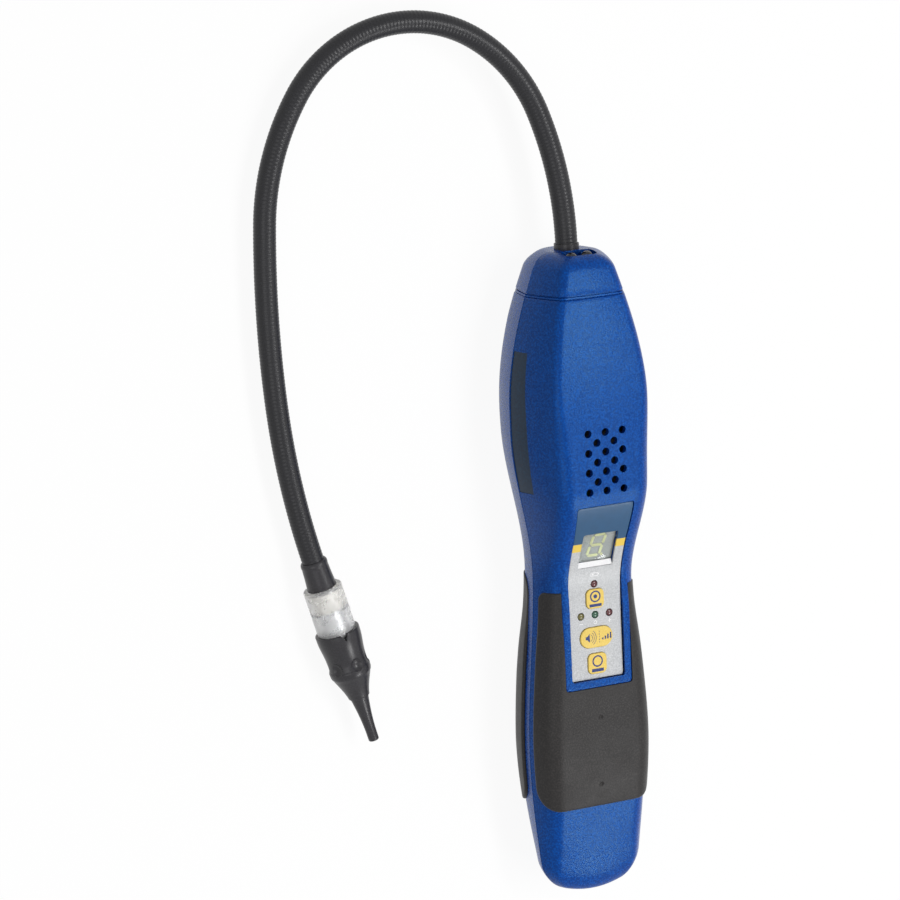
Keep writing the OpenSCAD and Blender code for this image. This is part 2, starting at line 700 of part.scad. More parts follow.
module cell(k) {
    color("#c8a13a") in_frame()
        translate([k % 2 == 0 ? -cell_x : cell_x, cell_y + floor(k/2)*cell_l, cell_z]) rotate([-90, 0, 0]) {
            cylinder(r = cell_r, h = cell_l - nub_l);
            cylinder(r = nub_r, h = cell_l, $fn = small_fn);
        }
}
module cell_1() { cell(0); }
module cell_2() { cell(1); }
module cell_3() { cell(2); }
module cell_4() { cell(3); }

module contact_plates() {
    color("#c9ccd0") in_frame() for (x = [-cell_x, cell_x], y = [tray_y, plate_y])
        translate([x - plate_half, y, cell_z - plate_half]) cube([2*plate_half, plate_t, 2*plate_half]);
}
// Coil springs, as rings one on the other that narrow towards the cell
module contact_springs() {
    color("#d7dade") in_frame() for (x = [-cell_x, cell_x])
        translate([x, tray_y + plate_t, cell_z]) rotate([-90, 0, 0])
            for (k = [0:spring_turns - 1]) translate([0, 0, spring_l*(k + 1/2)/spring_turns])
                rotate_extrude($fn = small_fn) translate([spring_r - k*spring_step, 0])
                square([spring_wire, spring_l/spring_turns], center = true);
}

module uv_led(x) {
    color("#1a1626") in_frame() translate([x, body_l - cap_top, lamp_z]) rotate([-90, 0, 0]) {
        cylinder(r = lamp_r - gap/2, h = cap_top - dish_depth + lamp_out, $fn = small_fn);
        translate([0, 0, cap_top - dish_depth + lamp_out]) sphere(r = lamp_r - gap/2, $fn = small_fn);
    }
}
module uv_led_1() { uv_led(lamp_xs[0]); }
module uv_led_2() { uv_led(lamp_xs[1]); }
module lamp_board() {
    color("#1f5a34") in_frame()
        translate([-lamp_board_w/2, body_l - cap_top - board_t, lamp_z - lamp_board_h/2])
        cube([lamp_board_w, board_t, lamp_board_h]);
}

// Gooseneck: a chain of arcs that starts along the housing and turns left all the way
neck_radii = [138, 59, 49, 93, 450, 304];
neck_angles = [21.5, 36, 90.4, 29, 8.2, 11.1];
neck_end = 8;
neck_step = 6.5;
neck_sides = 12;
core_tail = 2;
neck_start = cap_top + core_tail;
core_head = 1;

// Heading and place in the gooseneck's plane where arc k starts
function heading(h) = [-sin(h), cos(h)];
function arc_place(s, r, a) = s[1] + r*([cos(s[0] + a), sin(s[0] + a)] - [cos(s[0]), sin(s[0])]);
function neck_state(k) = k == 0 ? [0, [0, 0]]
    : let (s = neck_state(k - 1), a = neck_angles[k - 1]) [s[0] + a, arc_place(s, neck_radii[k - 1], a)];
tip_state = neck_state(len(neck_radii));
function neck_line(before, after) = concat([[0, [0, -before]]],
    [for (k = [0:len(neck_radii) - 1]) let (s = neck_state(k), r = neck_radii[k], a = neck_angles[k],
        n = ceil(r*a*PI/180/neck_step)) for (j = [0:n - 1]) [s[0] + a*j/n, arc_place(s, r, a*j/n)]],
    [tip_state, [tip_state[0], tip_state[1] + after*heading(tip_state[0])]]);
function neck_ring(s, r) = [for (j = [0:neck_sides - 1])
    let (u = 360*j/neck_sides, q = s[1] + r*cos(u)*[cos(s[0]), sin(s[0])]) [q[0], q[1], r*sin(u)]];

// A tube along the gooseneck, solid where it has no inner radius
module neck_tube(r_out, r_in, before, after) {
    line = neck_line(before, after);
    n = neck_sides;
    s = len(line);
    m = r_in > 0 ? s*n : 0;
    points = concat([for (p = line) each neck_ring(p, r_out)],
        [for (p = line) if (r_in > 0) each neck_ring(p, r_in)]);
    sides = [for (i = [0:s - 2], j = [0:n - 1]) let (a = i*n + j, b = i*n + (j + 1) % n) each concat(
        [[a, a + n, b + n], [a, b + n, b]],
        m > 0 ? [[m + b + n, m + a + n, m + a], [m + b, m + b + n, m + a]] : [])];
    ends = m > 0
        ? [for (j = [0:n - 1]) let (k = (j + 1) % n, e = (s - 1)*n) each
            [[j, k, m + k], [j, m + k, m + j], [e + k, e + j, m + e + j], [e + k, m + e + j, m + e + k]]]
        : [[for (j = [0:n - 1]) j], [for (j = [n - 1:-1:0]) (s - 1)*n + j]];
    at_neck() polyhedron(points, concat(sides, ends));
}
module at_neck() { in_frame() translate([0, body_l, neck_z]) rotate([0, -neck_tilt, 0]) children(); }
module at_tip(t = 0) {
    at_neck() translate([tip_state[1][0], tip_state[1][1], 0]) rotate([0, 0, tip_state[0]])
        rotate([-90, 0, 0]) translate([0, 0, t]) children();
}

module neck_sleeve() { color("#26282b") neck_tube(neck_d/2, conduit_r, 0, neck_end); }
module neck_core() { color("#8d9094") neck_tube(conduit_r, 0, neck_start, neck_end + core_head); }
module neck_collar() {
    color("#26282b") in_frame() translate([0, body_l - collar_sink, neck_z]) rotate([-90, 0, 0])
        rotate_extrude() polygon([[conduit_r + gap/2, 0], [collar_r, 0],
            [collar_r, collar_sink + collar_out], [neck_d/2 + gap/2, collar_sink + collar_out],
            [neck_d/2 + gap/2, collar_sink], [conduit_r + gap/2, collar_sink]]);
}
module neck_nut() {
    color("silver") in_frame() translate([0, body_l - cap_top - nut_t, neck_z]) rotate([-90, 0, 0])
        difference() {
            cylinder(r = nut_r, h = nut_t, $fn = 6);
            translate([0, 0, -over]) cylinder(r = conduit_r, h = nut_t + 2*over);
        }
}

// Sensor tip, turned about its axis; lengths count from the gooseneck's end
ferrule_l = 12;
ferrule_r = 4.95;
ferrule_end_r = 5.4;
barrel_r = barrel_d/2;
barrel_wall = 1.2;
shoulder_t = 1.4;
barrel_l = 16;
spigot_l = 5;
spigot_step = 0.7;
spigot_r = barrel_r - spigot_step;
spigot_lip = 0.4;         // step by which the spigot's bore is smaller than the barrel's
seal_r = 0.25;
seal_out = 0.1;           // part of the sealing ring that stands out of its groove
seal_at = 1.6;            // place of the sealing ring beyond the barrel's shoulder
socket_l = 7;
element_r = 4.6;
element_l = 13;
base_lip = 0.6;
base_t = 1.2;
mouth_share = 0.6;
mouth_t = 1;
element_pin_d = 0.8;
pin_play = 0.3;
pin_root = 0.4;
pin_len = 3;
pin_circle = 2.6;
rim_t = 2;
cap_start = ferrule_l + barrel_l;
cap_rises = [12, 17.7, 26.5, 44.4];   // band, its end, end of the cone, end of the nozzle
band_start = cap_start + cap_rises[0];
band_end = cap_start + cap_rises[1];
cone_end = cap_start + cap_rises[2];
nozzle_end = cap_start + cap_rises[3];
band_r = 7.7;
band_ease = 0.6;
band_fall = 0.4;
tip_waist_r = 7.3;
waist_l = 1;
cone_r = 3.95;
nozzle_r = 3.4;
nozzle_wall = 0.8;
hole_r = nozzle_d/2 - nozzle_wall;
cavity_r = 5.7;
socket_clear = 1;
scoop_r = 3.4;
scoop_rise = 14.9;
scoop_z = cap_start + scoop_rise;
scoop_depth = 1;
scoop_reach = band_r + scoop_r - scoop_depth;
notch_w = 2.6;
notch_h = 3;
notch_depth = 0.5;

module ferrule() {
    bore = [[0, ferrule_l], [0, neck_end + core_head], [conduit_r, neck_end + core_head],
        [conduit_r, neck_end], [neck_d/2, neck_end]];
    color("#1d1e20") at_tip() rotate_extrude() polygon(concat([[neck_d/2, 0], [ferrule_r, 0],
        [ferrule_end_r, ferrule_l - shoulder_t], [barrel_r - gap, ferrule_l - shoulder_t],
        [barrel_r - gap, ferrule_l]], bore));
}
module clear_barrel() {
    r_in = barrel_r - barrel_wall;
    spigot_in = r_in - spigot_lip;
    groove_r = spigot_r + seal_out - 2*seal_r;
    seal_z = barrel_l + seal_at;
    color("#dfe6ea", 0.5) at_tip(ferrule_l) rotate_extrude() polygon([[r_in, 0], [barrel_r, 0],
        [barrel_r, barrel_l], [spigot_r, barrel_l], [spigot_r, seal_z - seal_r],
        [groove_r, seal_z - seal_r], [groove_r, seal_z + seal_r], [spigot_r, seal_z + seal_r],
        [spigot_r, barrel_l + spigot_l], [spigot_in, barrel_l + spigot_l],
        [spigot_in, barrel_l - spigot_lip], [r_in, barrel_l - 2*spigot_lip]]);
}
module barrel_ring() {
    color("#1d1e20") at_tip(cap_start + seal_at) rotate_extrude($fn = small_fn)
        translate([spigot_r + seal_out - seal_r, 0]) circle(r = seal_r, $fn = small_fn);
}
module sensor_socket() {
    color("#d9d6cc") at_tip(ferrule_l) difference() {
        cylinder(r = barrel_r - barrel_wall, h = socket_l);
        for (t = [0:90:270]) rotate([0, 0, t]) translate([pin_circle, 0, socket_l - pin_len])
            cylinder(d = element_pin_d + 2*pin_play, h = pin_len + over, $fn = small_fn);
    }
}
module sensor_element() {
    color("#b9bcc0") at_tip(ferrule_l + socket_l) difference() {
        union() {
            cylinder(r = element_r, h = element_l);
            cylinder(r = element_r + base_lip, h = base_t);
            for (t = [0:90:270]) rotate([0, 0, t]) translate([pin_circle, 0, pin_root - pin_len])
                cylinder(d = element_pin_d, h = pin_len, $fn = small_fn);
        }
        translate([0, 0, element_l - mouth_t]) cylinder(r = element_r*mouth_share, h = mouth_t + over);
    }
}
module tip_cap() {
    outside = [[tip_rim_d/2, cap_start], [tip_rim_d/2, cap_start + rim_t],
        [tip_waist_r, band_start - waist_l], [tip_waist_r, band_start],
        [band_r, band_start + band_ease], [band_r - band_fall, band_end],
        [cone_r, cone_end], [nozzle_r, cone_end], [nozzle_d/2, nozzle_end]];
    inside = [[hole_r, nozzle_end], [hole_r, cone_end], [cavity_r, band_end],
        [cavity_r, cap_start + spigot_l + socket_clear],
        [spigot_r + gap, cap_start + spigot_l + socket_clear], [spigot_r + gap, cap_start]];
    color("#161719") at_tip() difference() {
        rotate_extrude() polygon(concat(outside, inside));
        for (k = [0:scoop_count - 1]) rotate([0, 0, 360*k/scoop_count])
            translate([scoop_reach, 0, scoop_z]) sphere(r = scoop_r, $fn = small_fn);
        translate([0, 0, cap_start]) rotate([90, 0, 0]) translate([0, 0, tip_rim_d/2 - notch_depth])
            linear_extrude(over + notch_depth) polygon([[-notch_w/2, -over], [notch_w/2, -over],
                [notch_w/2, 0], [0, notch_h], [-notch_w/2, 0]]);
    }
}

module side_label() { color("#12303c") in_frame() label_patch(label_depth - label_t, label_depth); }

module case_screws() {
    color("silver") in_frame() each_screw() {
        translate([0, 0, -screw_grip - screw_head_t]) difference() {
            cylinder(r = screw_head_r, h = screw_head_t, $fn = small_fn);
            translate([0, 0, -over]) for (t = [0, 90]) rotate([0, 0, t])
                translate([-cross_l/2, -cross_w/2, 0]) cube([cross_l, cross_w, over + cross_depth]);
        }
        translate([0, 0, -screw_grip])
            cylinder(r = pilot_r, h = screw_grip + pilot_l - thread_end, $fn = small_fn);
    }
}

front_shell();
rear_shell();
end_cap();
front_grip();
battery_door();
rear_grip();
panel_film();
display_window();
digit_display();
digit_segments();
status_led_1();
status_led_2();
status_led_3();
status_led_4();
lamp_key();
sound_key();
power_key();
dome_switches();
main_board();
speaker();
cell_1();
cell_2();
cell_3();
cell_4();
contact_springs();
contact_plates();
uv_led_1();
uv_led_2();
lamp_board();
neck_collar();
neck_nut();
neck_sleeve();
neck_core();
ferrule();
clear_barrel();
sensor_socket();
sensor_element();
barrel_ring();
tip_cap();
side_label();
case_screws();
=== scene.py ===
import math
import bpy
import bmesh
from mathutils import Matrix, Vector


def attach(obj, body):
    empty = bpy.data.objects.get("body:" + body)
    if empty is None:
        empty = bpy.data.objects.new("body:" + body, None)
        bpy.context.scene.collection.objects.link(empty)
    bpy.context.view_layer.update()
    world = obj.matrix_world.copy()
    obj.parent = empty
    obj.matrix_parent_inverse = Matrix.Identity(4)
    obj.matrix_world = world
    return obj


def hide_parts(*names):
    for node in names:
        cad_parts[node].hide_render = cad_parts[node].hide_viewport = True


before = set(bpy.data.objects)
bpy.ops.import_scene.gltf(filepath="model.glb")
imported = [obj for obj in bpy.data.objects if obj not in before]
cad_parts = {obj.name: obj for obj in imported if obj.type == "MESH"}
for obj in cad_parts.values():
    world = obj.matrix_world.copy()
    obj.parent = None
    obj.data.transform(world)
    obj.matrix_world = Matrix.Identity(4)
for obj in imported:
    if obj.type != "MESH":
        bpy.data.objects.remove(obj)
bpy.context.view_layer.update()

mm = 0.001
print("frame loaded:", len(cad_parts), "nodes")

# Camera at the photograph's angle; lengths in millimetres, angles in degrees
view = {"centre": (-51.6, -26.3, 19.0), "turn": 26.1, "lift": 12.1, "roll": -2.3,
        "distance": 1436.0, "lens": 160.0}


def placeCamera():
    turn, lift, roll = (math.radians(view[k]) for k in ("turn", "lift", "roll"))
    right = Vector((math.cos(turn), 0, math.sin(turn)))
    back = Vector((-math.sin(turn)*math.cos(lift), math.sin(lift), math.cos(turn)*math.cos(lift)))
    up = back.cross(right)
    across = right*math.cos(roll) + up*math.sin(roll)
    upward = up*math.cos(roll) - right*math.sin(roll)
    data = bpy.data.cameras.new("camera")
    data.lens = view["lens"]
    data.sensor_width = 36
    data.clip_end = 20
    camera = bpy.data.objects.new("camera", data)
    bpy.context.scene.collection.objects.link(camera)
    where = (Vector(view["centre"]) + back*view["distance"])*mm
    camera.matrix_world = Matrix((across, upward, back)).transposed().to_4x4()
    camera.location = where
    bpy.context.scene.camera = camera


placeCamera()
print("camera placed")


# Shader and geometry trees: a socket that takes part in Python expressions
class Value:
    def __init__(self, wires, socket):
        self.wires = wires
        self.socket = socket

    def join(self, operation, other, swapped=False):
        first, second = (other, self) if swapped else (self, other)
        return self.wires.node("ShaderNodeMath", {"operation": operation}, {0: first, 1: second})

    def __add__(self, other): return self.join("ADD", other)
    def __radd__(self, other): return self.join("ADD", other)
    def __sub__(self, other): return self.join("SUBTRACT", other)
    def __rsub__(self, other): return self.join("SUBTRACT", other, True)
    def __mul__(self, other): return self.join("MULTIPLY", other)
    def __rmul__(self, other): return self.join("MULTIPLY", other)
    def __truediv__(self, other): return self.join("DIVIDE", other)
    def __rtruediv__(self, other): return self.join("DIVIDE", other, True)
    def __pow__(self, other): return self.join("POWER", other)
    def __gt__(self, other): return self.join("GREATER_THAN", other)
    def __lt__(self, other): return self.join("LESS_THAN", other)


class Wires:
    def __init__(self, tree):
        self.tree = tree

    def node(self, kind, settings=None, inputs=None, output=0):
        made = self.tree.nodes.new(kind)
        for key, value in (settings or {}).items():
            if key == "stops":
                ramp = made.color_ramp
                while len(ramp.elements) < len(value):
                    ramp.elements.new(0.5)
                for element, (place, colour) in zip(ramp.elements, value):
                    element.position = place
                    element.color = (*colour, 1)
            else:
                setattr(made, key, value)
        for key, value in (inputs or {}).items():
            if isinstance(value, Value):
                self.tree.links.new(value.socket, made.inputs[key])
            else:
                made.inputs[key].default_value = value
        return Value(self, made.outputs[output] if made.outputs else None)


class Finish(Wires):
    def __init__(self, name, fixed):
        self.material = bpy.data.materials.new(name)
        self.material.use_nodes = True
        super().__init__(self.material.node_tree)
        self.tree.nodes.clear()
        self.shader = self.tree.nodes.new("ShaderNodeBsdfPrincipled")
        ending = self.tree.nodes.new("ShaderNodeOutputMaterial")
        self.tree.links.new(self.shader.outputs[0], ending.inputs[0])
        for key, value in fixed.items():
            self.shader.inputs[key].default_value = value
        self.place = Value(self, self.tree.nodes.new("ShaderNodeTexCoord").outputs["Object"])

    def feed(self, key, value):
        self.tree.links.new(value.socket, self.shader.inputs[key])

    def axis(self, index):
        return self.node("ShaderNodeSeparateXYZ", {}, {0: self.place}, index)

    def noise(self, size, detail=2.0, rough=0.5, stretch=None):
        where = self.place
        if stretch:
            where = self.node("ShaderNodeVectorMath", {"operation": "MULTIPLY"}, {0: where, 1: stretch})
        return self.node("ShaderNodeTexNoise", {}, {"Vector": where, "Scale": 1/(size*mm), "Detail": detail,
                                                    "Roughness": rough})

    def cells(self, size, feature="F1", output=0):
        return self.node("ShaderNodeTexVoronoi", {"feature": feature},
                         {"Vector": self.place, "Scale": 1/(size*mm)}, output)

    def ease(self, value, low, high):
        return self.node("ShaderNodeMapRange", {"interpolation_type": "SMOOTHSTEP"},
                         {"Value": value, "From Min": low, "From Max": high})

    def tint(self, share, first, second):
        def colour(c):
            return c if isinstance(c, Value) else (*c, 1)
        return self.node("ShaderNodeMix", {"data_type": "RGBA"},
                         {0: share, 6: colour(first), 7: colour(second)}, 2)

    def relief(self, height, depth, strength=1.0, under=None):
        inputs = {"Height": height, "Distance": depth*mm, "Strength": strength}
        if under:
            inputs["Normal"] = under
        return self.node("ShaderNodeBump", {}, inputs)


# Moulded plastic with a spark-eroded grain: two shades, small pits and a slow drift
def plasticFinish(name, dark, light, grain, depth, rough, gloss, sparkle=(1, 1, 1)):
    drift = 0.06
    f = Finish(name, {"Specular IOR Level": gloss, "Specular Tint": (*sparkle, 1)})
    pits = f.noise(grain, 3.0, 0.6)
    slow = f.noise(22)
    share = f.ease(pits, 0.42, 0.66)*(1 - drift) + slow*drift
    f.feed("Base Color", f.tint(share, dark, light))
    f.feed("Roughness", rough + (slow - 0.5)*0.1 + (pits - 0.5)*0.25)
    f.feed("Normal", f.relief(pits, depth))
    return f.material


# Metal with fine drawn lines across and small stains
def metalFinish(name, colour, rough=0.28, size=0.3, stretch=(1, 1, 8)):
    f = Finish(name, {"Metallic": 1.0})
    lines = f.noise(size, 3.0, 0.7, stretch)
    stain = f.noise(6)
    dull = tuple(c*0.72 for c in colour)
    f.feed("Base Color", f.tint(f.ease(stain, 0.35, 0.7), colour, dull))
    f.feed("Roughness", rough + (lines - 0.5)*0.2 + (stain - 0.5)*0.1)
    f.feed("Normal", f.relief(lines, 0.006))
    return f.material


# Solid rubber or black moulded plastic with faint handling marks
def rubberFinish(name, dark, light, grain=0.7, depth=0.02, rough=0.5, gloss=0.45, sheen=0.0):
    f = Finish(name, {"Specular IOR Level": gloss, "Sheen Weight": sheen, "Sheen Roughness": 0.4})
    pits = f.noise(grain, 3.0, 0.6)
    marks = f.noise(9, 4.0, 0.65)
    f.feed("Base Color", f.tint(f.ease(pits, 0.4, 0.75), dark, light))
    f.feed("Roughness", rough + (marks - 0.5)*rough*0.5)
    f.feed("Normal", f.relief(pits, depth))
    return f.material


def clearFinish(name, tint, rough=0.08, frost=0.25, ior=1.46, through=1.0):
    f = Finish(name, {"Transmission Weight": through, "IOR": ior})
    cloud = f.noise(4, 3.0, 0.6)
    f.feed("Base Color", f.tint(cloud, tint, tuple(min(1.0, c*1.04) for c in tint)))
    f.feed("Roughness", rough + f.ease(cloud, 0.4, 0.8)*frost)
    f.feed("Normal", f.relief(f.noise(1.2), 0.01))
    return f.material


def lampFinish(name, colour, glow):
    f = Finish(name, {"Roughness": 0.12, "Coat Weight": 0.6, "Coat Roughness": 0.05,
                      "Emission Strength": 0.05})
    core = f.noise(2.5)
    f.feed("Base Color", f.tint(core, colour, tuple(c*0.35 for c in colour)))
    f.feed("Emission Color", f.tint(core, glow, colour))
    return f.material


# The printed film: teal head, yellow stripe, silver field with fine flakes; y counts from the foot
filmPrint = {"stripe": (127.4, 130.5), "teal": (0.008, 0.055, 0.13), "yellow": (0.74, 0.52, 0.08),
             "silver": (0.40, 0.41, 0.42), "flake": (0.56, 0.57, 0.58), "restY": 195.0}


def filmFinish():
    f = Finish("panelFilm", {"Specular IOR Level": 0.4, "Coat Weight": 0.15, "Coat Roughness": 0.3})
    y = f.axis(1)*1000 + filmPrint["restY"]
    low, high = filmPrint["stripe"]
    flakes = f.ease(f.noise(0.45, 2.0, 0.6), 0.35, 0.7)
    field = f.tint(flakes, filmPrint["silver"], filmPrint["flake"])
    striped = f.tint(f.ease(y, low - 0.1, low + 0.1), field, filmPrint["yellow"])
    weave = f.tint(f.noise(3), filmPrint["teal"], tuple(c*1.35 for c in filmPrint["teal"]))
    f.feed("Base Color", f.tint(f.ease(y, high - 0.1, high + 0.1), striped, weave))
    f.feed("Roughness", 0.34 + flakes*0.14)
    f.feed("Normal", f.relief(f.noise(0.4), 0.012))
    return f.material


def boardFinish():
    f = Finish("boardGreen", {"Specular IOR Level": 0.5, "Coat Weight": 0.3})
    tracks = f.cells(3.2, "DISTANCE_TO_EDGE")
    copper = 1 - f.ease(tracks, 0.04, 0.09)
    f.feed("Base Color", f.tint(copper, (0.012, 0.09, 0.04), (0.03, 0.17, 0.07)))
    f.feed("Roughness", 0.3 + f.noise(1.5)*0.15)
    f.feed("Normal", f.relief(copper, 0.03))
    return f.material


def cellFinish():
    f = Finish("cellWrap", {"Specular IOR Level": 0.5, "Coat Weight": 0.5, "Coat Roughness": 0.1})
    along = f.axis(1)*1000 + filmPrint["restY"]
    band = f.ease(f.node("ShaderNodeMath", {"operation": "FRACT"}, {0: (along - 26)/50.5}), 0.66, 0.68)
    f.feed("Base Color", f.tint(band, (0.02, 0.02, 0.022), (0.62, 0.30, 0.06)))
    f.feed("Metallic", band*0.8)
    f.feed("Roughness", 0.28 + f.noise(2)*0.1)
    return f.material


finishes = {
    "blue": plasticFinish("bluePlastic", (0.001, 0.031, 0.20), (0.002, 0.068, 0.36), 0.7, 0.11, 0.28, 0.32,
                          (0.3, 0.7, 1.0)),
    "grip": rubberFinish("gripRubber", (0.010, 0.009, 0.009), (0.030, 0.027, 0.026), 0.6, 0.07, 0.46, 0.3,
                         0.12),
    "film": filmFinish(),
    "label": plasticFinish("labelFilm", (0.003, 0.020, 0.05), (0.006, 0.034, 0.075), 0.8, 0.008, 0.34, 0.3),
    "keyYellow": plasticFinish("keyYellow", (0.70, 0.50, 0.10), (0.78, 0.58, 0.15), 0.5, 0.01, 0.42, 0.35),
    "ink": plasticFinish("iconInk", (0.025, 0.04, 0.14), (0.04, 0.06, 0.2), 0.3, 0.004, 0.5, 0.3),
    "sleeve": rubberFinish("blackSleeve", (0.009, 0.009, 0.011), (0.020, 0.020, 0.024), 0.5, 0.02, 0.34,
                           0.34),
    "black": rubberFinish("blackPlastic", (0.012, 0.011, 0.014), (0.026, 0.025, 0.030), 0.6, 0.012,
                          0.32, 0.45),
    "clear": clearFinish("clearPlastic", (0.95, 0.95, 0.95), 0.26, 0.2, 1.38, 0.8),
    "lens": clearFinish("windowLens", (0.95, 0.97, 0.96), 0.03, 0.04),
    "ivory": plasticFinish("socketIvory", (0.62, 0.60, 0.55), (0.72, 0.70, 0.64), 0.6, 0.01, 0.5, 0.4),
    "display": plasticFinish("displayFace", (0.30, 0.32, 0.32), (0.36, 0.38, 0.37), 0.5, 0.006, 0.5, 0.3),
    "segment": plasticFinish("segmentPaint", (0.62, 0.65, 0.33), (0.70, 0.72, 0.42), 0.4, 0.004, 0.5, 0.3),
    # White for the lamp rings and signs, and the painted reflection on the window's lower ledge
    "white": plasticFinish("whitePlastic", (0.75, 0.75, 0.76), (0.82, 0.82, 0.82), 0.5, 0.01, 0.4, 0.4),
    "redLamp": lampFinish("lampRed", (0.11, 0.006, 0.010), (0.5, 0.03, 0.03)),
    "oliveLamp": lampFinish("lampOlive", (0.15, 0.13, 0.012), (0.5, 0.42, 0.05)),
    "greenLamp": lampFinish("lampGreen", (0.006, 0.09, 0.045), (0.05, 0.45, 0.2)),
    "darkLamp": rubberFinish("lampDark", (0.003, 0.002, 0.005), (0.006, 0.004, 0.012), 0.8, 0.002, 0.08, 0.5),
    "steel": metalFinish("brightMetal", (0.72, 0.73, 0.75)),
    "can": metalFinish("sensorCan", (0.62, 0.63, 0.65), 0.34, 0.5, (1, 1, 1)),
    "braid": metalFinish("conduitMetal", (0.45, 0.46, 0.48), 0.4, 0.8, (1, 3, 1)),
    "board": boardFinish(),
    "cell": cellFinish(),
    "cone": rubberFinish("speakerBlack", (0.01, 0.01, 0.011), (0.03, 0.03, 0.032), 0.8, 0.03, 0.7, 0.2),
    "seal": rubberFinish("sealRubber", (0.01, 0.01, 0.01), (0.02, 0.02, 0.02), 0.6, 0.01, 0.6, 0.4),
}
print("finishes made:", len(finishes))


# Meshes: faces outward, smooth but for edges sharper than the angle
def smoothed(mesh, angle=38, recalc=True):
    edit = bmesh.new()
    edit.from_mesh(mesh)
    bmesh.ops.remove_doubles(edit, verts=edit.verts, dist=1e-6)
    if recalc:
        bmesh.ops.recalc_face_normals(edit, faces=edit.faces)
    for face in edit.faces:
        face.smooth = True
    for edge in edit.edges:
        edge.smooth = len(edge.link_faces) == 2 and edge.calc_face_angle(0) < math.radians(angle)
    edit.to_mesh(mesh)
    edit.free()
    return mesh


def piece(name, points, faces, finish, body="housing", angle=38):
    mesh = bpy.data.meshes.new(name)
    mesh.from_pydata([Vector(p)*mm for p in points], [], faces)
    smoothed(mesh, angle)
    mesh.materials.append(finishes[finish])
    made = bpy.data.objects.new(name, mesh)
    bpy.context.scene.collection.objects.link(made)
    if body:
        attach(made, body)
    return made


def asMesh(target, angle=38):
    graph = bpy.context.evaluated_depsgraph_get()
    mesh = bpy.data.meshes.new_from_object(target.evaluated_get(graph))
    target.modifiers.clear()
    target.data = mesh
    smoothed(mesh, angle, False)


# Take the cutters out of a piece, one after the other, and keep the result as its mesh
def carve(target, cutters, operation="DIFFERENCE", angle=38):
    for cutter in cutters:
        step = target.modifiers.new("carve", "BOOLEAN")
        step.operation = operation
        step.solver = "MANIFOLD"
        step.object = cutter
    asMesh(target, angle)
    for cutter in cutters:
        bpy.data.objects.remove(cutter)


def joined(target, others):
    edit = bmesh.new()
    edit.from_mesh(target.data)
    for other in others:
        edit.from_mesh(other.data)
        bpy.data.objects.remove(other)
    edit.to_mesh(target.data)
    edit.free()


def bevelled(target, width, segments=3, angle=30):
    step = target.modifiers.new("edges", "BEVEL")
    step.width = width*mm
    step.segments = segments
    step.limit_method = "ANGLE"
    step.angle_limit = math.radians(angle)
    asMesh(target)


# Housing rule: the sizes of its section at each place y from the foot, as in the part
shell = {"length": 236.0, "seamZ": 19.0, "wall": 2.0, "footRound": 7.0, "topRound": 6.0,
         "footShares": (0.4, 0.8),
         "widthAt": (52, 118, 172, 180), "frontAt": (60, 112, 152, 172), "backAt": (66, 126, 188, 202),
         "halfWidths": (19.7, 23.8, 20.0, 27.0, 13.6), "frontRises": (4, 10.5, 10, 22, 13.5),
         "backDrops": (11.5, 18.1, 15.4, 19.3, 16.5), "frontDrafts": (1.5, 2, 2, 7, 3.4),
         "backDrafts": (1.5, 1.2, 1.2, 2, 1.5), "rounds": (6.5, 9.0), "headRound": 3.6, "grip": 1.2,
         "capY": 222.0, "restY": 195.0, "groove": (1.4, 0.6), "headCrown": 1.3, "footCrown": 0.7,
         "rows": 190, "bulge": 5.0, "bulgeFade": 30.0, "seamCut": 0.3, "endSteps": (0.02, 0.3, 0.55, 0.8)}
screwPlaces = ((-15, 203), (15, 203), (-14, 134), (14, 134), (0, 11.5))


def easeStep(t):
    t = min(1, max(0, t))
    return t*t*(3 - 2*t)


def alongHousing(y, stops, sizes):
    if y < stops[0]:
        return sizes[0] + (sizes[1] - sizes[0])*math.sin(math.pi/2*max(y, 0)/stops[0])
    if y < stops[1]:
        return sizes[1] + (sizes[2] - sizes[1])*easeStep((y - stops[0])/(stops[1] - stops[0]))
    if y < stops[2]:
        return sizes[2] + (sizes[3] - sizes[2])*easeStep((y - stops[1])/(stops[2] - stops[1]))
    if y < stops[3]:
        return sizes[3]
    return sizes[4] + (sizes[3] - sizes[4])*math.cos(math.pi/2*(y - stops[3])/(shell["length"] - stops[3]))


def endInset(y):
    def quarter(r, d):
        return r - math.sqrt(max(0, r*r - d*d))
    if y < shell["footRound"]:
        return quarter(shell["footRound"], shell["footRound"] - y)
    start = shell["length"] - shell["topRound"]
    return quarter(shell["topRound"], y - start) if y > start else 0


def riseAt(back, y):
    if back:
        return min(alongHousing(y, shell["backAt"], shell["backDrops"]),
                   shell["seamZ"] - (shell["grip"] if y < shell["backAt"][1] else 0))
    return alongHousing(y, shell["frontAt"], shell["frontRises"])


def frontZ(y):
    return shell["seamZ"] + riseAt(0, y)


def slopeAt(y):
    return math.atan((frontZ(y + 1) - frontZ(y - 1))/2)


def crownAt(back, y):
    if back:
        return 0
    return shell["footCrown"]*(1 - easeStep((y - 12)/16)) + shell["headCrown"]*easeStep((y - 148)/22)


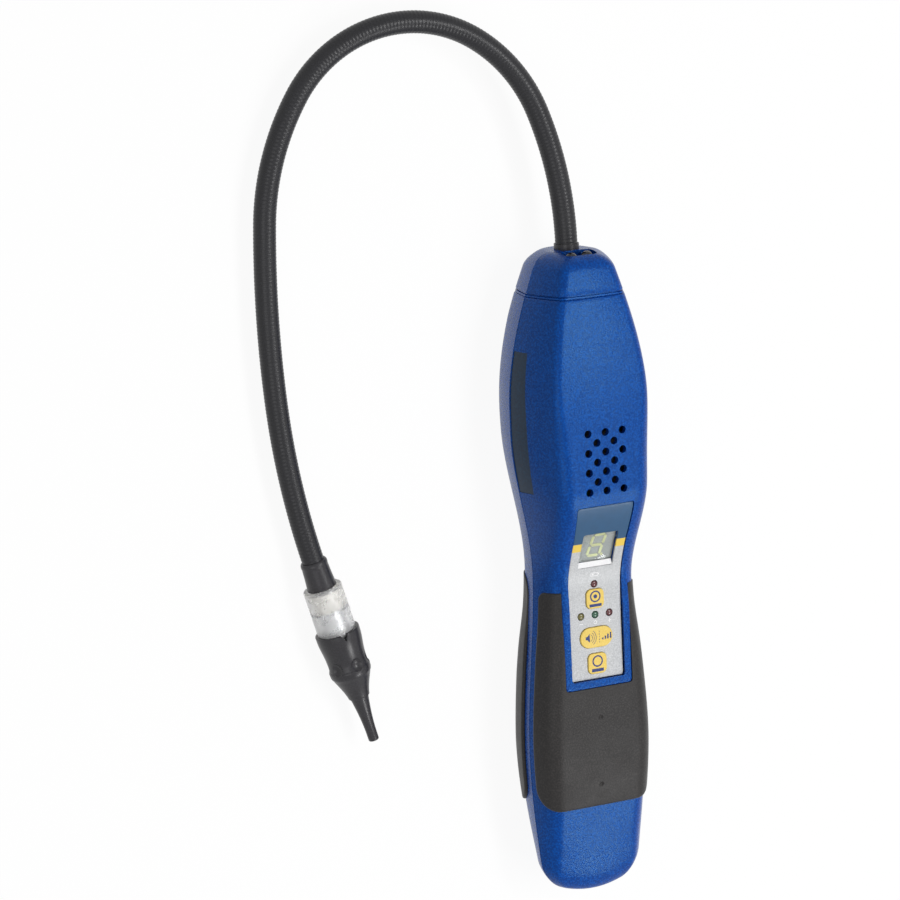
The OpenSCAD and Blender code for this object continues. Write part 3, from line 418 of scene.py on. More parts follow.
def sectionRing(back, y, inset=0.0, chamfer=shell["seamCut"], sides=7, corners=9, faces=14):
    e = endInset(y)
    share = shell["footShares"][back] if y < shell["capY"] else 1
    a = alongHousing(y, shell["widthAt"], shell["halfWidths"]) - e - inset
    h = riseAt(back, y) - e*share - inset
    d = alongHousing(y, shell["widthAt"], shell["backDrafts" if back else "frontDrafts"])
    c = shell["rounds"][back]
    if not back:
        c += (shell["headRound"] - c)*easeStep((y - 158)/34)
    c = min(c, 0.8*h, 0.8*(a - d))
    start = 0.0
    for _ in range(8):
        xj = a - d - c + c*math.cos(start)
        zj = h - c + c*math.sin(start)
        start = math.atan(1.4*(a - xj)/zj)
    half = [(a - chamfer, 0.0)]
    for k in range(sides):
        t = chamfer/zj + (1 - chamfer/zj)*k/(sides - 1)
        half.append((a - (a - xj)*(0.6*t + 0.4*t*t), zj*t))
    for k in range(1, corners + 1):
        u = start + (math.pi/2 - start)*k/corners
        half.append((a - d - c + c*math.cos(u), h - c + c*math.sin(u)))
    for k in range(1, faces + 1):
        half.append(((a - d - c)*(1 - k/faces), h))
    crown = crownAt(back, y)
    half = [(x, z*(1 - crown/h*(x/a)**2)) for x, z in half]
    return half + [(-x, z) for x, z in reversed(half[:-1])]


# A point of the housing in the frame; the foot's end bulges in its middle
def inPlace(back, x, y, z):
    out = shell["bulge"]*max(0, 1 - (x/shell["halfWidths"][0])**2)*(1 - easeStep(y/shell["bulgeFade"]))
    return (x, y - out - shell["restY"], shell["seamZ"] + (-z if back else z))


def strips(a, b, n, closed=False):
    return [(a + j, a + (j + 1) % n, b + (j + 1) % n, b + j) for j in range(n if closed else n - 1)]


def footRows():
    return [shell["footRound"]*(1 - math.cos(math.pi/2*k/10)) for k in range(10)]


def halfShell(name, back):
    start, end = shell["footRound"], shell["capY"] - shell["groove"][0]
    body = [start + (end - 0.3 - start)*k/shell["rows"] for k in range(shell["rows"] + 1)]
    depth = shell["groove"][1]
    outer = [(0.0, 0.0, s) for s in shell["endSteps"]] + [(y, 0.0, 1) for y in footRows() + body]
    lip = shell["capY"] - 0.35
    outer += [(end - 0.1, 0.08, 1), (end + 0.15, depth, 1), (end + 0.3, 0.15, 1), (lip - 0.15, 0.12, 1)]
    outer += [(lip, depth, 1), (shell["capY"], depth, 1)]
    count = len(outer)
    wall, steps = shell["wall"], len(shell["endSteps"])
    inner = [(wall, wall, s) for s in shell["endSteps"]]
    inner += [(wall + (shell["capY"] - 2*wall)*k/(count - steps - 1), wall, 1) for k in range(count - steps)]
    points = []
    for rows in (outer, inner):
        for y, inset, size in rows:
            points += [inPlace(back, x*size, y, z*size) for x, z in sectionRing(back, y, inset)]
    n = len(points)//(2*count)
    m = count*n
    faces = []
    for i in range(count - 1):
        a, b = i*n, (i + 1)*n
        faces += strips(a, b, n) + strips(m + a, m + b, n)
        faces += [(a, b, m + b, m + a), (a + n - 1, b + n - 1, m + b + n - 1, m + a + n - 1)]
    last = m - n
    faces += [tuple(range(n)), tuple(range(last, m)), tuple(range(m, m + n)), tuple(range(m + last, 2*m))]
    faces += [(0, n - 1, m + n - 1, m), (last, last + n - 1, m + last + n - 1, m + last)]
    return piece(name, points, faces, "blue")


# A section's half outline from the middle outwards, with its normals, to lay pads on
def sectionCurve(back, y):
    ring = sectionRing(back, y, 0.0, 0.02)
    half = list(reversed(ring[:len(ring)//2 + 1]))
    lengths = [0.0]
    for p, q in zip(half, half[1:]):
        lengths.append(lengths[-1] + math.dist(p, q))
    normals = []
    for k in range(len(half)):
        p, q = half[max(0, k - 1)], half[min(len(half) - 1, k + 1)]
        run = Vector((q[0] - p[0], q[1] - p[1])).normalized()
        normals.append((-run.y, run.x))
    normals[0] = (0, 1)
    return half, lengths, normals


def onCurve(curve, u, lift):
    half, lengths, normals = curve
    v = min(abs(u), lengths[-1])
    k = 0
    while k < len(lengths) - 2 and lengths[k + 1] < v:
        k += 1
    t = (v - lengths[k])/max(1e-9, lengths[k + 1] - lengths[k])
    x, z, nx, nz = (p + (q - p)*t for p, q in zip((*half[k], *normals[k]), (*half[k + 1], *normals[k + 1])))
    size = math.hypot(nx, nz)
    x, z = x + nx/size*lift, z + nz/size*lift
    return (-x if u < 0 else x), z


def onRow(curve, u, lift, y):
    x, z = onCurve(curve, u, lift)
    return x, y, z


def reachAt(curve, height):
    half, lengths, _ = curve
    for k in range(len(half) - 1, 0, -1):
        if half[k - 1][1] >= height:
            t = (height - half[k][1])/(half[k - 1][1] - half[k][1])
            return lengths[k] + (lengths[k - 1] - lengths[k])*t
    return 0


# A pad with rounded corners and rounded edges that lies on the housing
def pad(name, back, yRange, reach, rounds, top, bottom, edge, finish, columns=20, rowStep=1.0,
        body="housing"):
    y0, y1 = yRange
    fine = [edge*k for k in (0, 0.1, 0.25, 0.45, 0.7, 1.0)]
    count = max(2, int((y1 - y0 - 2*edge)/rowStep))
    ys = [y0 + f for f in fine] + [y0 + edge + (y1 - y0 - 2*edge)*k/count for k in range(1, count)]
    ys += [y1 - f for f in reversed(fine)]
    over, under = [], []
    for y in ys:
        curve = sectionCurve(back, y)
        full = reach(y, curve)
        near = min(y - y0, y1 - y)
        r = rounds[0] if y - y0 < y1 - y else rounds[1]
        side = full - r + math.sqrt(max(0, r*r - (r - near)**2)) if near < r else full
        us = [side - f for f in fine] + [(side - edge)*(1 - k/columns) for k in range(1, columns + 1)]
        us += [-u for u in reversed(us[:-1])]
        for u in us:
            du, dy = abs(u) - (full - r), r - near
            inside = r - math.hypot(du, dy) if du > 0 and dy > 0 else min(full - abs(u), near)
            lift = top(y) if callable(top) else top
            arc = min(edge, lift - bottom)
            lift -= arc - math.sqrt(max(0, arc**2 - (arc - min(arc, max(0, inside)))**2))
            over.append(inPlace(back, *onRow(curve, u, lift, y)))
            under.append(inPlace(back, *onRow(curve, u, bottom, y)))
    points = over + under
    n = len(us)
    rows = len(ys)
    m = rows*n
    faces = []
    for i in range(rows - 1):
        a, b = i*n, (i + 1)*n
        faces += strips(a, b, n) + strips(m + a, m + b, n)
        faces += [(a, b, m + b, m + a), (a + n - 1, b + n - 1, m + b + n - 1, m + a + n - 1)]
    last = m - n
    for j in range(n - 1):
        faces += [(j, j + 1, m + j + 1, m + j), (last + j, last + j + 1, m + last + j + 1, m + last + j)]
    return piece(name, points, faces, finish, body)


def arc(cx, cz, r, a0, a1, steps):
    turns = [math.radians(a0 + (a1 - a0)*k/steps) for k in range(steps + 1)]
    return [(cx + r*math.cos(t), cz + r*math.sin(t)) for t in turns]


# Prism with rounded corners, upright at x, y or in a tilted frame
def roundRect(w, h, r, steps=8):
    points = []
    for cx, cy, a in ((1, 1, 0), (-1, 1, 90), (-1, -1, 180), (1, -1, 270)):
        for k in range(steps + 1):
            t = math.radians(a + 90*k/steps)
            points.append((cx*(w/2 - r) + r*math.cos(t), cy*(h/2 - r) + r*math.sin(t)))
    return points


def prism(name, outline, z0, z1, place=None, finish="blue", body=None):
    n = len(outline)
    points = [(x, y, z) for z in (z0, z1) for x, y in outline]
    if place:
        points = [tuple(place @ Vector(p)) for p in points]
    faces = strips(0, n, n, True) + [tuple(range(n)), tuple(range(n, 2*n))]
    return piece(name, points, faces, finish, body)


# Turned piece: a profile of radius and height, closed round the axis
def turned(name, profile, place, finish, body=None, steps=64, angle=38):
    points = [(r*math.cos(2*math.pi*k/steps), r*math.sin(2*math.pi*k/steps), z)
              for r, z in profile for k in range(steps)]
    points = [tuple(place @ Vector(p)) for p in points]
    n = len(profile)
    faces = [f for i in range(n) for f in strips(i*steps, (i + 1) % n*steps, steps, True)]
    return piece(name, points, faces, finish, body, angle)


def disc(x, y, r, z0, z1, place=None, steps=40, name="cutter"):
    outline = [(x + r*math.cos(2*math.pi*k/steps), y + r*math.sin(2*math.pi*k/steps)) for k in range(steps)]
    return prism(name, outline, z0, z1, place)


# Geometry Nodes trees with named sizes
class Rule(Wires):
    def __init__(self, name, sizes):
        super().__init__(bpy.data.node_groups.new(name, "GeometryNodeTree"))
        self.name = name
        self.sizes = sizes
        face = self.tree.interface
        face.new_socket("Geometry", in_out="INPUT", socket_type="NodeSocketGeometry")
        self.keys = {}
        for key in sizes:
            made = face.new_socket(key, in_out="INPUT", socket_type="NodeSocketFloat")
            self.keys[key] = made.identifier
        face.new_socket("Geometry", in_out="OUTPUT", socket_type="NodeSocketGeometry")
        self.start = self.tree.nodes.new("NodeGroupInput")
        self.mesh = Value(self, self.start.outputs["Geometry"])

    def size(self, key):
        return Value(self, self.start.outputs[key])

    def grow(self, points, edges, finish, body=None, angle=38):
        mesh = bpy.data.meshes.new(self.name)
        mesh.from_pydata([Vector(p)*mm for p in points], edges, [])
        made = bpy.data.objects.new(self.name, mesh)
        bpy.context.scene.collection.objects.link(made)
        step = made.modifiers.new("rule", "NODES")
        step.node_group = self.tree
        for key, value in self.sizes.items():
            step[self.keys[key]] = value
        asMesh(made, angle)
        if not made.data.materials:
            made.data.materials.append(finishes[finish])
        if body:
            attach(made, body)
        return made

    def finish(self, mesh, material):
        real = self.node("GeometryNodeRealizeInstances", {}, {0: mesh})
        last = self.node("GeometryNodeSetMaterial", {}, {0: real})
        last.socket.node.inputs["Material"].default_value = finishes[material]
        ending = self.tree.nodes.new("NodeGroupOutput")
        self.tree.links.new(last.socket, ending.inputs[0])


# Front of the housing: raised frame, recess for the film, holes for keys, lamps and sound
panel = {"y": 78.0, "length": 67.0, "width": 21.6, "topWidth": 23.0, "flareY": 130.0, "round": 0.7,
         "depth": 1.0, "film": 0.7, "frame": (27.6, 74.8, 122.0, 1.3, 0.9), "gap": 0.25, "keyGap": 0.14,
         "window": (14.4, 14.8, 127.1), "ledXs": (0, -5.9, 0, 5.9), "ledYs": (113.6, 102.0, 102.0, 102.0),
         "ledR": 1.2, "ledFoot": 23.8, "proud": 0.35, "flange": (0.4, 0.8),
         "keys": {"lamp_key": (108.1, 7.3, 7.3), "sound_key": (93.6, 13.4, 7.7),
                  "power_key": (83.7, 7.7, 7.7)},
         "keyRounds": {"lamp_key": 2.0, "sound_key": 3.84, "power_key": 2.0},
         "stems": {"lamp_key": (0,), "sound_key": (-3.35, 3.35), "power_key": (0,)}}


def panelSide(grow):
    def reach(y, curve):
        if y < panel["flareY"]:
            return panel["width"]/2 + grow
        t = (y - panel["flareY"])/(panel["y"] + panel["length"] - panel["flareY"])
        return (panel["width"] + (panel["topWidth"] - panel["width"])*min(1, t))/2 + grow
    return reach


def panelCutters(grow, withPanel):
    y0, y1 = panel["y"], panel["y"] + panel["length"]
    rest = shell["restY"]
    cutters = []
    if withPanel:
        cutters.append(pad("cutter", 0, (y0 - grow, y1 + grow), panelSide(grow), (panel["round"],)*2, 6.0,
                           -panel["depth"], 0.05, "blue", 6, 1.0, None))
    w, h, y = panel["window"]
    tilt = Matrix.Translation((0, y - rest, frontZ(y))) @ Matrix.Rotation(slopeAt(y), 4, "X")
    cutters.append(prism("cutter", roundRect(w, h, 0.8), -5, 9, tilt))
    for x, y in zip(panel["ledXs"], panel["ledYs"]):
        cutters.append(disc(x, y - rest, panel["ledR"] + panel["gap"], shell["seamZ"] + 3, 45))
    for key, (y, w, h) in panel["keys"].items():
        gap = panel["keyGap"]
        hole = roundRect(w + 2*gap, h + 2*gap, panel["keyRounds"][key] + gap)
        cutters.append(prism("cutter", [(px, py + y - rest) for px, py in hole], shell["seamZ"] + 3, 45))
    return cutters


# Perforations of the sound grille: rows of three and two holes in turn
grille = {"Hole": 1.45*mm, "Depth": 9*mm}
grilleRows = {"rows": 7, "pitch": 7.0, "step": 3.6, "start": 150.8}


def grilleCutters():
    rule = Rule("grilleHoles", grille)
    drill = rule.node("GeometryNodeMeshCylinder", {}, {"Vertices": 32, "Radius": rule.size("Hole"),
                                                       "Depth": rule.size("Depth")})
    holes = rule.node("GeometryNodeInstanceOnPoints", {}, {"Points": rule.mesh, "Instance": drill})
    rule.finish(holes, "blue")
    points = []
    for row in range(grilleRows["rows"]):
        count = 3 if row % 2 == 0 else 2
        for k in range(count):
            y = grilleRows["start"] + grilleRows["step"]*row
            points.append(((k - (count - 1)/2)*grilleRows["pitch"], y - shell["restY"], frontZ(y)))
    return rule.grow(points, [], "blue")


def buildFront():
    front = halfShell("frontHousing", 0)
    w, y0, y1, r, rise = panel["frame"]

    def frameTop(y):
        return 0.02 + rise*(1 - easeStep((y - 102)/18))
    border = pad("panelBorder", 0, (y0, y1), lambda y, c: w/2, (r, r), frameTop, -0.8, 0.5, "blue",
                 14, 0.8, None)
    carve(front, panelCutters(panel["gap"], True) + [grilleCutters(), labelPad("cutter", 2.0, -0.5)])
    carve(border, panelCutters(panel["gap"], True))
    bosses = []
    for x, y in screwPlaces:
        top = min(9, riseAt(0, y) - 1.2)
        place = Matrix.Translation((x, y - shell["restY"], shell["seamZ"]))
        bosses.append(turned("boss", [(1.3, 0), (3.2, 0), (3.2, top), (1.3, top)], place, "blue", None, 24))
    joined(front, [border] + bosses)
    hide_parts("front_shell")
    return front


# The strip label in the left wall, without print
label = {"y": (149.6, 201.6), "share": (0.02, 0.5), "rows": 40}


def labelPad(name, top, bottom, finish="blue", body=None):
    y0, y1 = label["y"]
    points = []
    for k in range(label["rows"] + 1):
        y = y0 + (y1 - y0)*k/label["rows"]
        curve = sectionCurve(0, y)
        start = reachAt(curve, 0.1)
        end = reachAt(curve, riseAt(0, y) - shell["rounds"][0])
        a, b = (start + (end - start)*s for s in label["share"])
        ring = [onCurve(curve, -(a + (b - a)*t/6), top) for t in range(7)]
        ring += [onCurve(curve, -(a + (b - a)*t/6), bottom) for t in reversed(range(7))]
        points += [inPlace(0, x, y, z) for x, z in ring]
    n, rows = 14, label["rows"]
    faces = [f for i in range(rows) for f in strips(i*n, (i + 1)*n, n, True)]
    for base in (0, rows*n):
        faces += [(base + j, base + j + 1, base + n - 2 - j, base + n - 1 - j) for j in range(6)]
    return piece(name, points, faces, finish, body)


def buildLabel():
    strip = labelPad("sideLabel", -0.15, -0.5, "label", "housing")
    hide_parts("side_label")


front = buildFront()
buildLabel()
print("front housing:", len(front.data.polygons), "faces")

# Back of the housing, with the battery opening and the screw wells
rear = {"door": (29.0, 33.5, 113.5, 6.0), "doorGap": 0.3, "well": 2.95, "wellTop": 11.0,
        "tray": (15.0, 20.5, 127.5, 20.45)}


def doorOutline(grow):
    w, y0, y1, r = rear["door"]
    middle = (y0 + y1)/2 - shell["restY"]
    return [(x, y + middle) for x, y in roundRect(w + 2*grow, y1 - y0 + 2*grow, r)]


def slab(x0, x1, y0, y1, z0, z1):
    return prism("slab", [(x0, y0 - shell["restY"]), (x1, y0 - shell["restY"]), (x1, y1 - shell["restY"]),
                          (x0, y1 - shell["restY"])], z0, z1)


def buildRear():
    back = halfShell("rearHousing", 1)
    half, y0, y1, top = rear["tray"]
    wells = []
    for x, y in screwPlaces:
        wells.append(disc(x, y - shell["restY"], rear["well"], -3, rear["wellTop"]))
        wells.append(disc(x, y - shell["restY"], 1.6, -3, shell["seamZ"] + 1))
    posts = []
    for x, y in screwPlaces:
        foot = shell["seamZ"] - riseAt(1, y) + (1.6 if x == 0 else 2.6)
        posts.append(disc(x, y - shell["restY"], 3.6, foot, shell["seamZ"]))
    carve(back, posts, "UNION")
    carve(back, wells + [prism("cutter", doorOutline(rear["doorGap"]), -3, 9)])
    walls = [slab(-half - 1, -half, y0 - 1, y1 + 1, 7.5, top + 1),
             slab(half, half + 1, y0 - 1, y1 + 1, 7.5, top + 1),
             slab(-half, half, y0 - 1, y0, 6.8, top + 1), slab(-half, half, y1, y1 + 1, 6, top + 1),
             slab(-half, half, y0, y1, top, top + 1)]
    joined(back, walls)
    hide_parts("rear_shell")


# End cap: closed loft with the lamps' dish and the gooseneck's hole
cap = {"top": 5.5, "neckZ": 16.0, "collarR": 4.6, "coreR": 3.2, "dish": (13.0, 8.0, 25.2, 3.0, 2.5),
       "lampXs": (-3.2, 3.2), "lampZ": 25.4, "lampR": 2.5, "cavity": (24.0, 22.0, 8.0)}


def lengthwise(x, z, y):
    return Matrix.Translation((x, y - shell["restY"], z)) @ Matrix.Rotation(-math.pi/2, 4, "X")


def buildCap():
    y0, y1 = shell["capY"], shell["length"]
    ys = [(y0, 0.3), (y0 + 0.1, 0.1), (y0 + 0.3, 0.0), (y0 + 3, 0.0), (y0 + 6, 0.0)]
    ys += [(y1 - shell["topRound"]*(1 - math.sin(math.radians(7.5*k))), 0.0) for k in range(13)]
    points = []
    for y, inset in ys:
        upper, lower = (sectionRing(b, y, inset, 0.06) for b in (0, 1))
        points += [inPlace(0, x, y, z) for x, z in upper]
        points += [inPlace(1, x, y, z) for x, z in reversed(lower[1:-1])]
    n = len(points)//len(ys)
    last = (len(ys) - 1)*n
    faces = [f for i in range(len(ys) - 1) for f in strips(i*n, (i + 1)*n, n, True)]
    points += [inPlace(0, 0, y0, 0), inPlace(0, 0, y1, 0)]
    faces += [(j, (j + 1) % n, len(points) - 2) for j in range(n)]
    faces += [(last + j, last + (j + 1) % n, len(points) - 1) for j in range(n)]
    made = piece("endCap", points, faces, "blue")
    w, h, r = cap["cavity"]
    dw, dh, dz, dr, depth = cap["dish"]
    cutters = [prism("cutter", roundRect(w, h, r), -2, y1 - y0 - cap["top"],
                     lengthwise(0, shell["seamZ"], y0)),
               disc(0, 0, cap["coreR"], -12, 3, lengthwise(0, cap["neckZ"], y1)),
               disc(0, 0, cap["collarR"], -2, 3, lengthwise(0, cap["neckZ"], y1)),
               prism("cutter", roundRect(dw, dh, dr), -depth, 3, lengthwise(0, dz, y1))]
    cutters += [disc(x, 0, cap["lampR"], -12, 3, lengthwise(0, cap["lampZ"], y1)) for x in cap["lampXs"]]
    carve(made, cutters)
    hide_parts("end_cap")
    for number, x in enumerate(cap["lampXs"], 1):
        r = cap["lampR"] - 0.125
        profile = [(0.01, 0), (r, 0), (r, 3.2)]
        profile += arc(0, 3.2, r, 10, 80, 7)
        profile += [(0.01, 3.2 + r)]
        lamp = turned(f"darkLamp{number}", profile, lengthwise(x, cap["lampZ"], y1 - cap["top"]), "darkLamp",
                      "housing", 40)
        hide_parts(f"uv_led_{number}")
        ring = [(r + 0.1, -0.1), (r + 0.75, -0.1), (r + 0.75, 0.15), (r + 0.5, 0.3), (r + 0.1, 0.3)]
        turned(f"lampRing{number}", ring, lengthwise(x, cap["lampZ"], y1 - depth), "white", "housing", 40)


buildRear()
buildCap()
print("rear housing and end cap done")

# Rubber grips on the front and the back, and the battery door
grips = {"front": (29.0, 112.0), "frontHeight": 2.5, "frontRounds": (9.0, 3.2), "rear": (30.0, 117.0),
         "rearHeight": 4.6, "rearRounds": (8.0, 8.0), "thick": 1.2, "sink": 0.75, "edge": 0.85,
         "dimples": (37.6, 63.5)}


def buildGrips():
    thick, edge = grips["thick"], grips["edge"]

    def gripTop(y):
        return thick - grips["sink"]*easeStep((y - 86)/22)
    grip = pad("frontGrip", 0, grips["front"], lambda y, c: reachAt(c, grips["frontHeight"]),
               grips["frontRounds"], gripTop, -0.05, edge, "grip", 26, 0.9)
    w, y0, y1, r, rise = panel["frame"]
    outline = [(x, y + (y0 + y1)/2 + 6 - shell["restY"]) for x, y in roundRect(w + 0.1, y1 - y0 + 12.1, r)]
    cutters = [prism("cutter", outline, shell["seamZ"] + 5, 45)]
    for y in grips["dimples"]:
        ball = Matrix.Translation((0, y - shell["restY"], frontZ(y) + thick + 1.0))
        profile = [(0.01, -1.4)] + arc(0, 0, 1.4, -75, 75, 10) + [(0.01, 1.4)]
        cutters.append(turned("cutter", profile, ball, "grip", None, 32))
    carve(grip, cutters)
    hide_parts("front_grip")
    hold = pad("rearGrip", 1, grips["rear"], lambda y, c: reachAt(c, grips["rearHeight"]),
               grips["rearRounds"], gripTop, -0.05, edge, "grip", 26, 0.9)
    carve(hold, [prism("cutter", doorOutline(rear["doorGap"]), -3, 9)])
    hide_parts("rear_grip")


# Grooves for the thumb on the battery door, set in a row
thumb = {"Length": 16*mm, "Radius": 0.45*mm}
thumbRow = {"count": 7, "pitch": 2.2*mm, "start": 42}


def thumbCutters():
    rule = Rule("thumbGrooves", thumb)
    bar = rule.node("GeometryNodeMeshCylinder", {}, {"Vertices": 16, "Radius": rule.size("Radius"),
                                                     "Depth": rule.size("Length")})
    first = (0, (thumbRow["start"] - shell["restY"])*mm, 0)
    row = rule.node("GeometryNodeMeshLine", {}, {"Count": thumbRow["count"], "Start Location": first,
                                                 "Offset": (0, thumbRow["pitch"], 0)})
    placed = rule.node("GeometryNodeInstanceOnPoints", {}, {"Points": row, "Instance": bar,
                                                            "Rotation": (0, math.pi/2, 0)})
    rule.finish(placed, "blue")
    return rule.grow([(0, 0, 0)], [], "blue")


def buildDoor():
    w, y0, y1, r = rear["door"]
    door = pad("batteryDoor", 1, (y0, y1), lambda y, c: w/2, (r, r), grips["thick"], -shell["wall"], 0.4,
               "blue", 14, 1.0, "battery_door")
    carve(door, [thumbCutters()])
    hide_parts("battery_door")


buildGrips()
buildDoor()
print("grips and door done")


# Printed film, window and status lamps
def buildPanel():
    y0, y1 = panel["y"], panel["y"] + panel["length"]
    film = pad("panelFilm", 0, (y0, y1), panelSide(0), (panel["round"],)*2,
               panel["film"] - panel["depth"], -panel["depth"], 0.12, "film", 10, 0.8)
    carve(film, panelCutters(panel["gap"], False))
    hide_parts("panel_film")
    w, h, y = panel["window"]
    tilt = Matrix.Translation((0, y - shell["restY"], frontZ(y))) @ Matrix.Rotation(slopeAt(y), 4, "X")
    lens = prism("windowLens", roundRect(w - 0.25, h - 0.25, 0.8), -2.25, -1.45, tilt, "lens", "housing")
    bevelled(lens, 0.12)
    # The slanted ledge at the window's lower edge is real; its white is a painted reflection of the lens's
    # lower edge
    reflectionLedge = [(-h/2 + 0.1, -0.15), (-h/2 + 1.7, -1.4), (-h/2 + 0.1, -1.4)]
    points = [tuple(tilt @ Vector((x, a, b))) for x in (-w/2 + 0.15, w/2 - 0.15) for a, b in reflectionLedge]
    piece("windowLedgeReflection", points, [(0, 1, 2), (3, 4, 5), (0, 1, 4, 3), (1, 2, 5, 4), (2, 0, 3, 5)], "white")
    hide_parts("display_window")
    colours = ("redLamp", "oliveLamp", "greenLamp", "redLamp")
    for number, (x, y) in enumerate(zip(panel["ledXs"], panel["ledYs"]), 1):
        r = panel["ledR"]
        top = frontZ(y) - panel["ledFoot"]
        profile = [(0.01, 0), (r + 0.25, 0), (r + 0.25, 1), (r, 1), (r, top - 0.5)]
        for a in range(15, 90, 15):
            t = math.radians(a)
            profile.append((r*math.cos(t), top - 0.5 + 0.55*math.sin(t)))
        profile += [(0.01, top + 0.05)]
        foot = Matrix.Translation((x, y - shell["restY"], panel["ledFoot"]))
        lamp = turned(f"statusLamp{number}", profile, foot, colours[number - 1], "housing", 36)
        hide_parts(f"status_led_{number}")


# Flat signs on the keys, as thin printed shapes
def ringShape(cx, cy, r0, r1, a0=0, a1=360, steps=40):
    closed = a1 - a0 >= 360
    count = steps if closed else steps + 1
    points = [p for r in (r0, r1) for p in arc(cx, cy, r, a0, a1, steps)[:count]]
    faces = [(k, (k + 1) % count, count + (k + 1) % count, count + k) for k in range(steps)]
    return points, faces


def boxShape(x0, x1, y0, y1):
    return [(x0, y0), (x1, y0), (x1, y1), (x0, y1)], [(0, 1, 2, 3)]


def signs(name, shapes, place, body, finish="ink"):
    points, faces = [], []
    for outline, cells in shapes:
        shift = len(points)
        points += [(x, y, 0) for x, y in outline]
        faces += [tuple(i + shift for i in cell) for cell in cells]
    points = [tuple(place @ Vector(p)) for p in points]
    made = piece(name, points, faces, finish, body)
    step = made.modifiers.new("thick", "SOLIDIFY")
    step.thickness = 0.05*mm
    step.offset = 0
    asMesh(made)
    return made


keySigns = {
    "lamp_key": [ringShape(0, 0.9, 1.65, 2.2), ringShape(0, 0.9, 0.01, 0.75),
                 boxShape(-2.5, 2.5, -3.0, -1.9)],
    "sound_key": [([(-4.6, -0.6), (-3.9, -0.6), (-2.9, -1.7), (-2.9, 1.7), (-3.9, 0.6), (-4.6, 0.6)],
                   [(0, 1, 2, 3, 4, 5)]),
                  ringShape(-3.4, 0, 1.5, 1.68, -52, 52, 16), ringShape(-3.4, 0, 2.3, 2.48, -52, 52, 16),
                  ringShape(-3.4, 0, 3.1, 3.28, -52, 52, 16)]
    + [boxShape(1.0, 1.2, -2.2 + k, -1.7 + k) for k in range(5)]
    + [boxShape(2.2 + 1.1*k, 2.8 + 1.1*k, -1.2, -0.5 + 0.55*k) for k in range(4)],
    "power_key": [ringShape(0, 0.9, 1.65, 2.2), boxShape(-2.5, 2.5, -3.1, -1.9)],
}


# Small white signs beside the status lamps: a battery, less, a ring and more
lampSigns = {
    "batterySign": (0, 117.3, [boxShape(-1.5, 1.3, -0.7, -0.5), boxShape(-1.5, 1.3, 0.5, 0.7),
                               boxShape(-1.7, -1.5, -0.7, 0.7), boxShape(1.3, 1.5, -0.7, 0.7),
                               boxShape(1.5, 1.75, -0.3, 0.3), boxShape(-1.2, -0.4, -0.3, 0.3)]),
    "lessSign": (-5.9, 99.1, [boxShape(-0.7, 0.7, -0.14, 0.14)]),
    "ringSign": (0, 99.1, [ringShape(0, 0, 0.45, 0.7, steps=24)]),
    "moreSign": (5.9, 99.1, [boxShape(-0.7, 0.7, -0.14, 0.14), boxShape(-0.14, 0.14, 0.14, 0.7),
                             boxShape(-0.14, 0.14, -0.7, -0.14)]),
}


def buildKeys():
    lip, thickLip = panel["flange"]
    for name, (y, w, h) in panel["keys"].items():
        top = frontZ(y + h/2) + panel["proud"]
        place = Matrix.Translation((0, y - shell["restY"], top))
        r = panel["keyRounds"][name]
        made = prism(name + "_top", roundRect(w, h, r, 12), -3.35, 0, place, "keyYellow", name)
        bevelled(made, 0.3, 4, 60)
        parts = [prism("foot", roundRect(w + 2*lip, h + 2*lip, r), -3.35, -3.35 + thickLip, place)]
        for x in panel["stems"][name]:
            parts.append(disc(x, y - shell["restY"], 1.0, 25.15, top - 3.0, None, 20, "stem"))
        joined(made, parts)
        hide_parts(name)
        signs(name + "_sign", keySigns[name], place, name)
    for name, (x, y, shapes) in lampSigns.items():
        place = Matrix.Translation((x, y - shell["restY"], frontZ(y) + panel["film"] - panel["depth"] + 0.02))
        signs(name, shapes, place @ Matrix.Rotation(slopeAt(y), 4, "X"), "housing", "white")


buildPanel()
buildKeys()
print("panel and keys done")

# Gooseneck: a chain of arcs, swept with fine rings
neck = {"radii": (138, 59, 49, 93, 450, 304), "angles": (21.5, 36, 90.4, 29, 8.2, 11.1), "end": 8.0,
        "tilt": 4.7, "rings": 1050}
sleeve = {"Radius": 4.1*mm, "Rib": 0.045*mm, "Pitch": 1.35*mm}


def neckFrame():
    return Matrix.Translation((0, shell["length"] - shell["restY"], cap["neckZ"])) \
        @ Matrix.Rotation(math.radians(-neck["tilt"]), 4, "Y")


def neckLine():
    heading, x, y = 0.0, 0.0, 0.0
    line = [(0.0, 0.0)]
    for r, a in zip(neck["radii"], neck["angles"]):
        steps = int(r*math.radians(a)/0.8)
        for k in range(1, steps + 1):
            t = heading + math.radians(a)*k/steps
            line.append((x + r*(math.cos(t) - math.cos(heading)), y + r*(math.sin(t) - math.sin(heading))))
        heading += math.radians(a)
        x, y = line[-1]
    for k in range(1, 9):
        line.append((x - neck["end"]*k/8*math.sin(heading), y + neck["end"]*k/8*math.cos(heading)))
    return line, (x, y, heading)


def tipFrame(t=0.0):
    x, y, heading = neckLine()[1]
    return neckFrame() @ Matrix.Translation((x, y, 0)) @ Matrix.Rotation(heading, 4, "Z") \
        @ Matrix.Rotation(-math.pi/2, 4, "X") @ Matrix.Translation((0, 0, t))


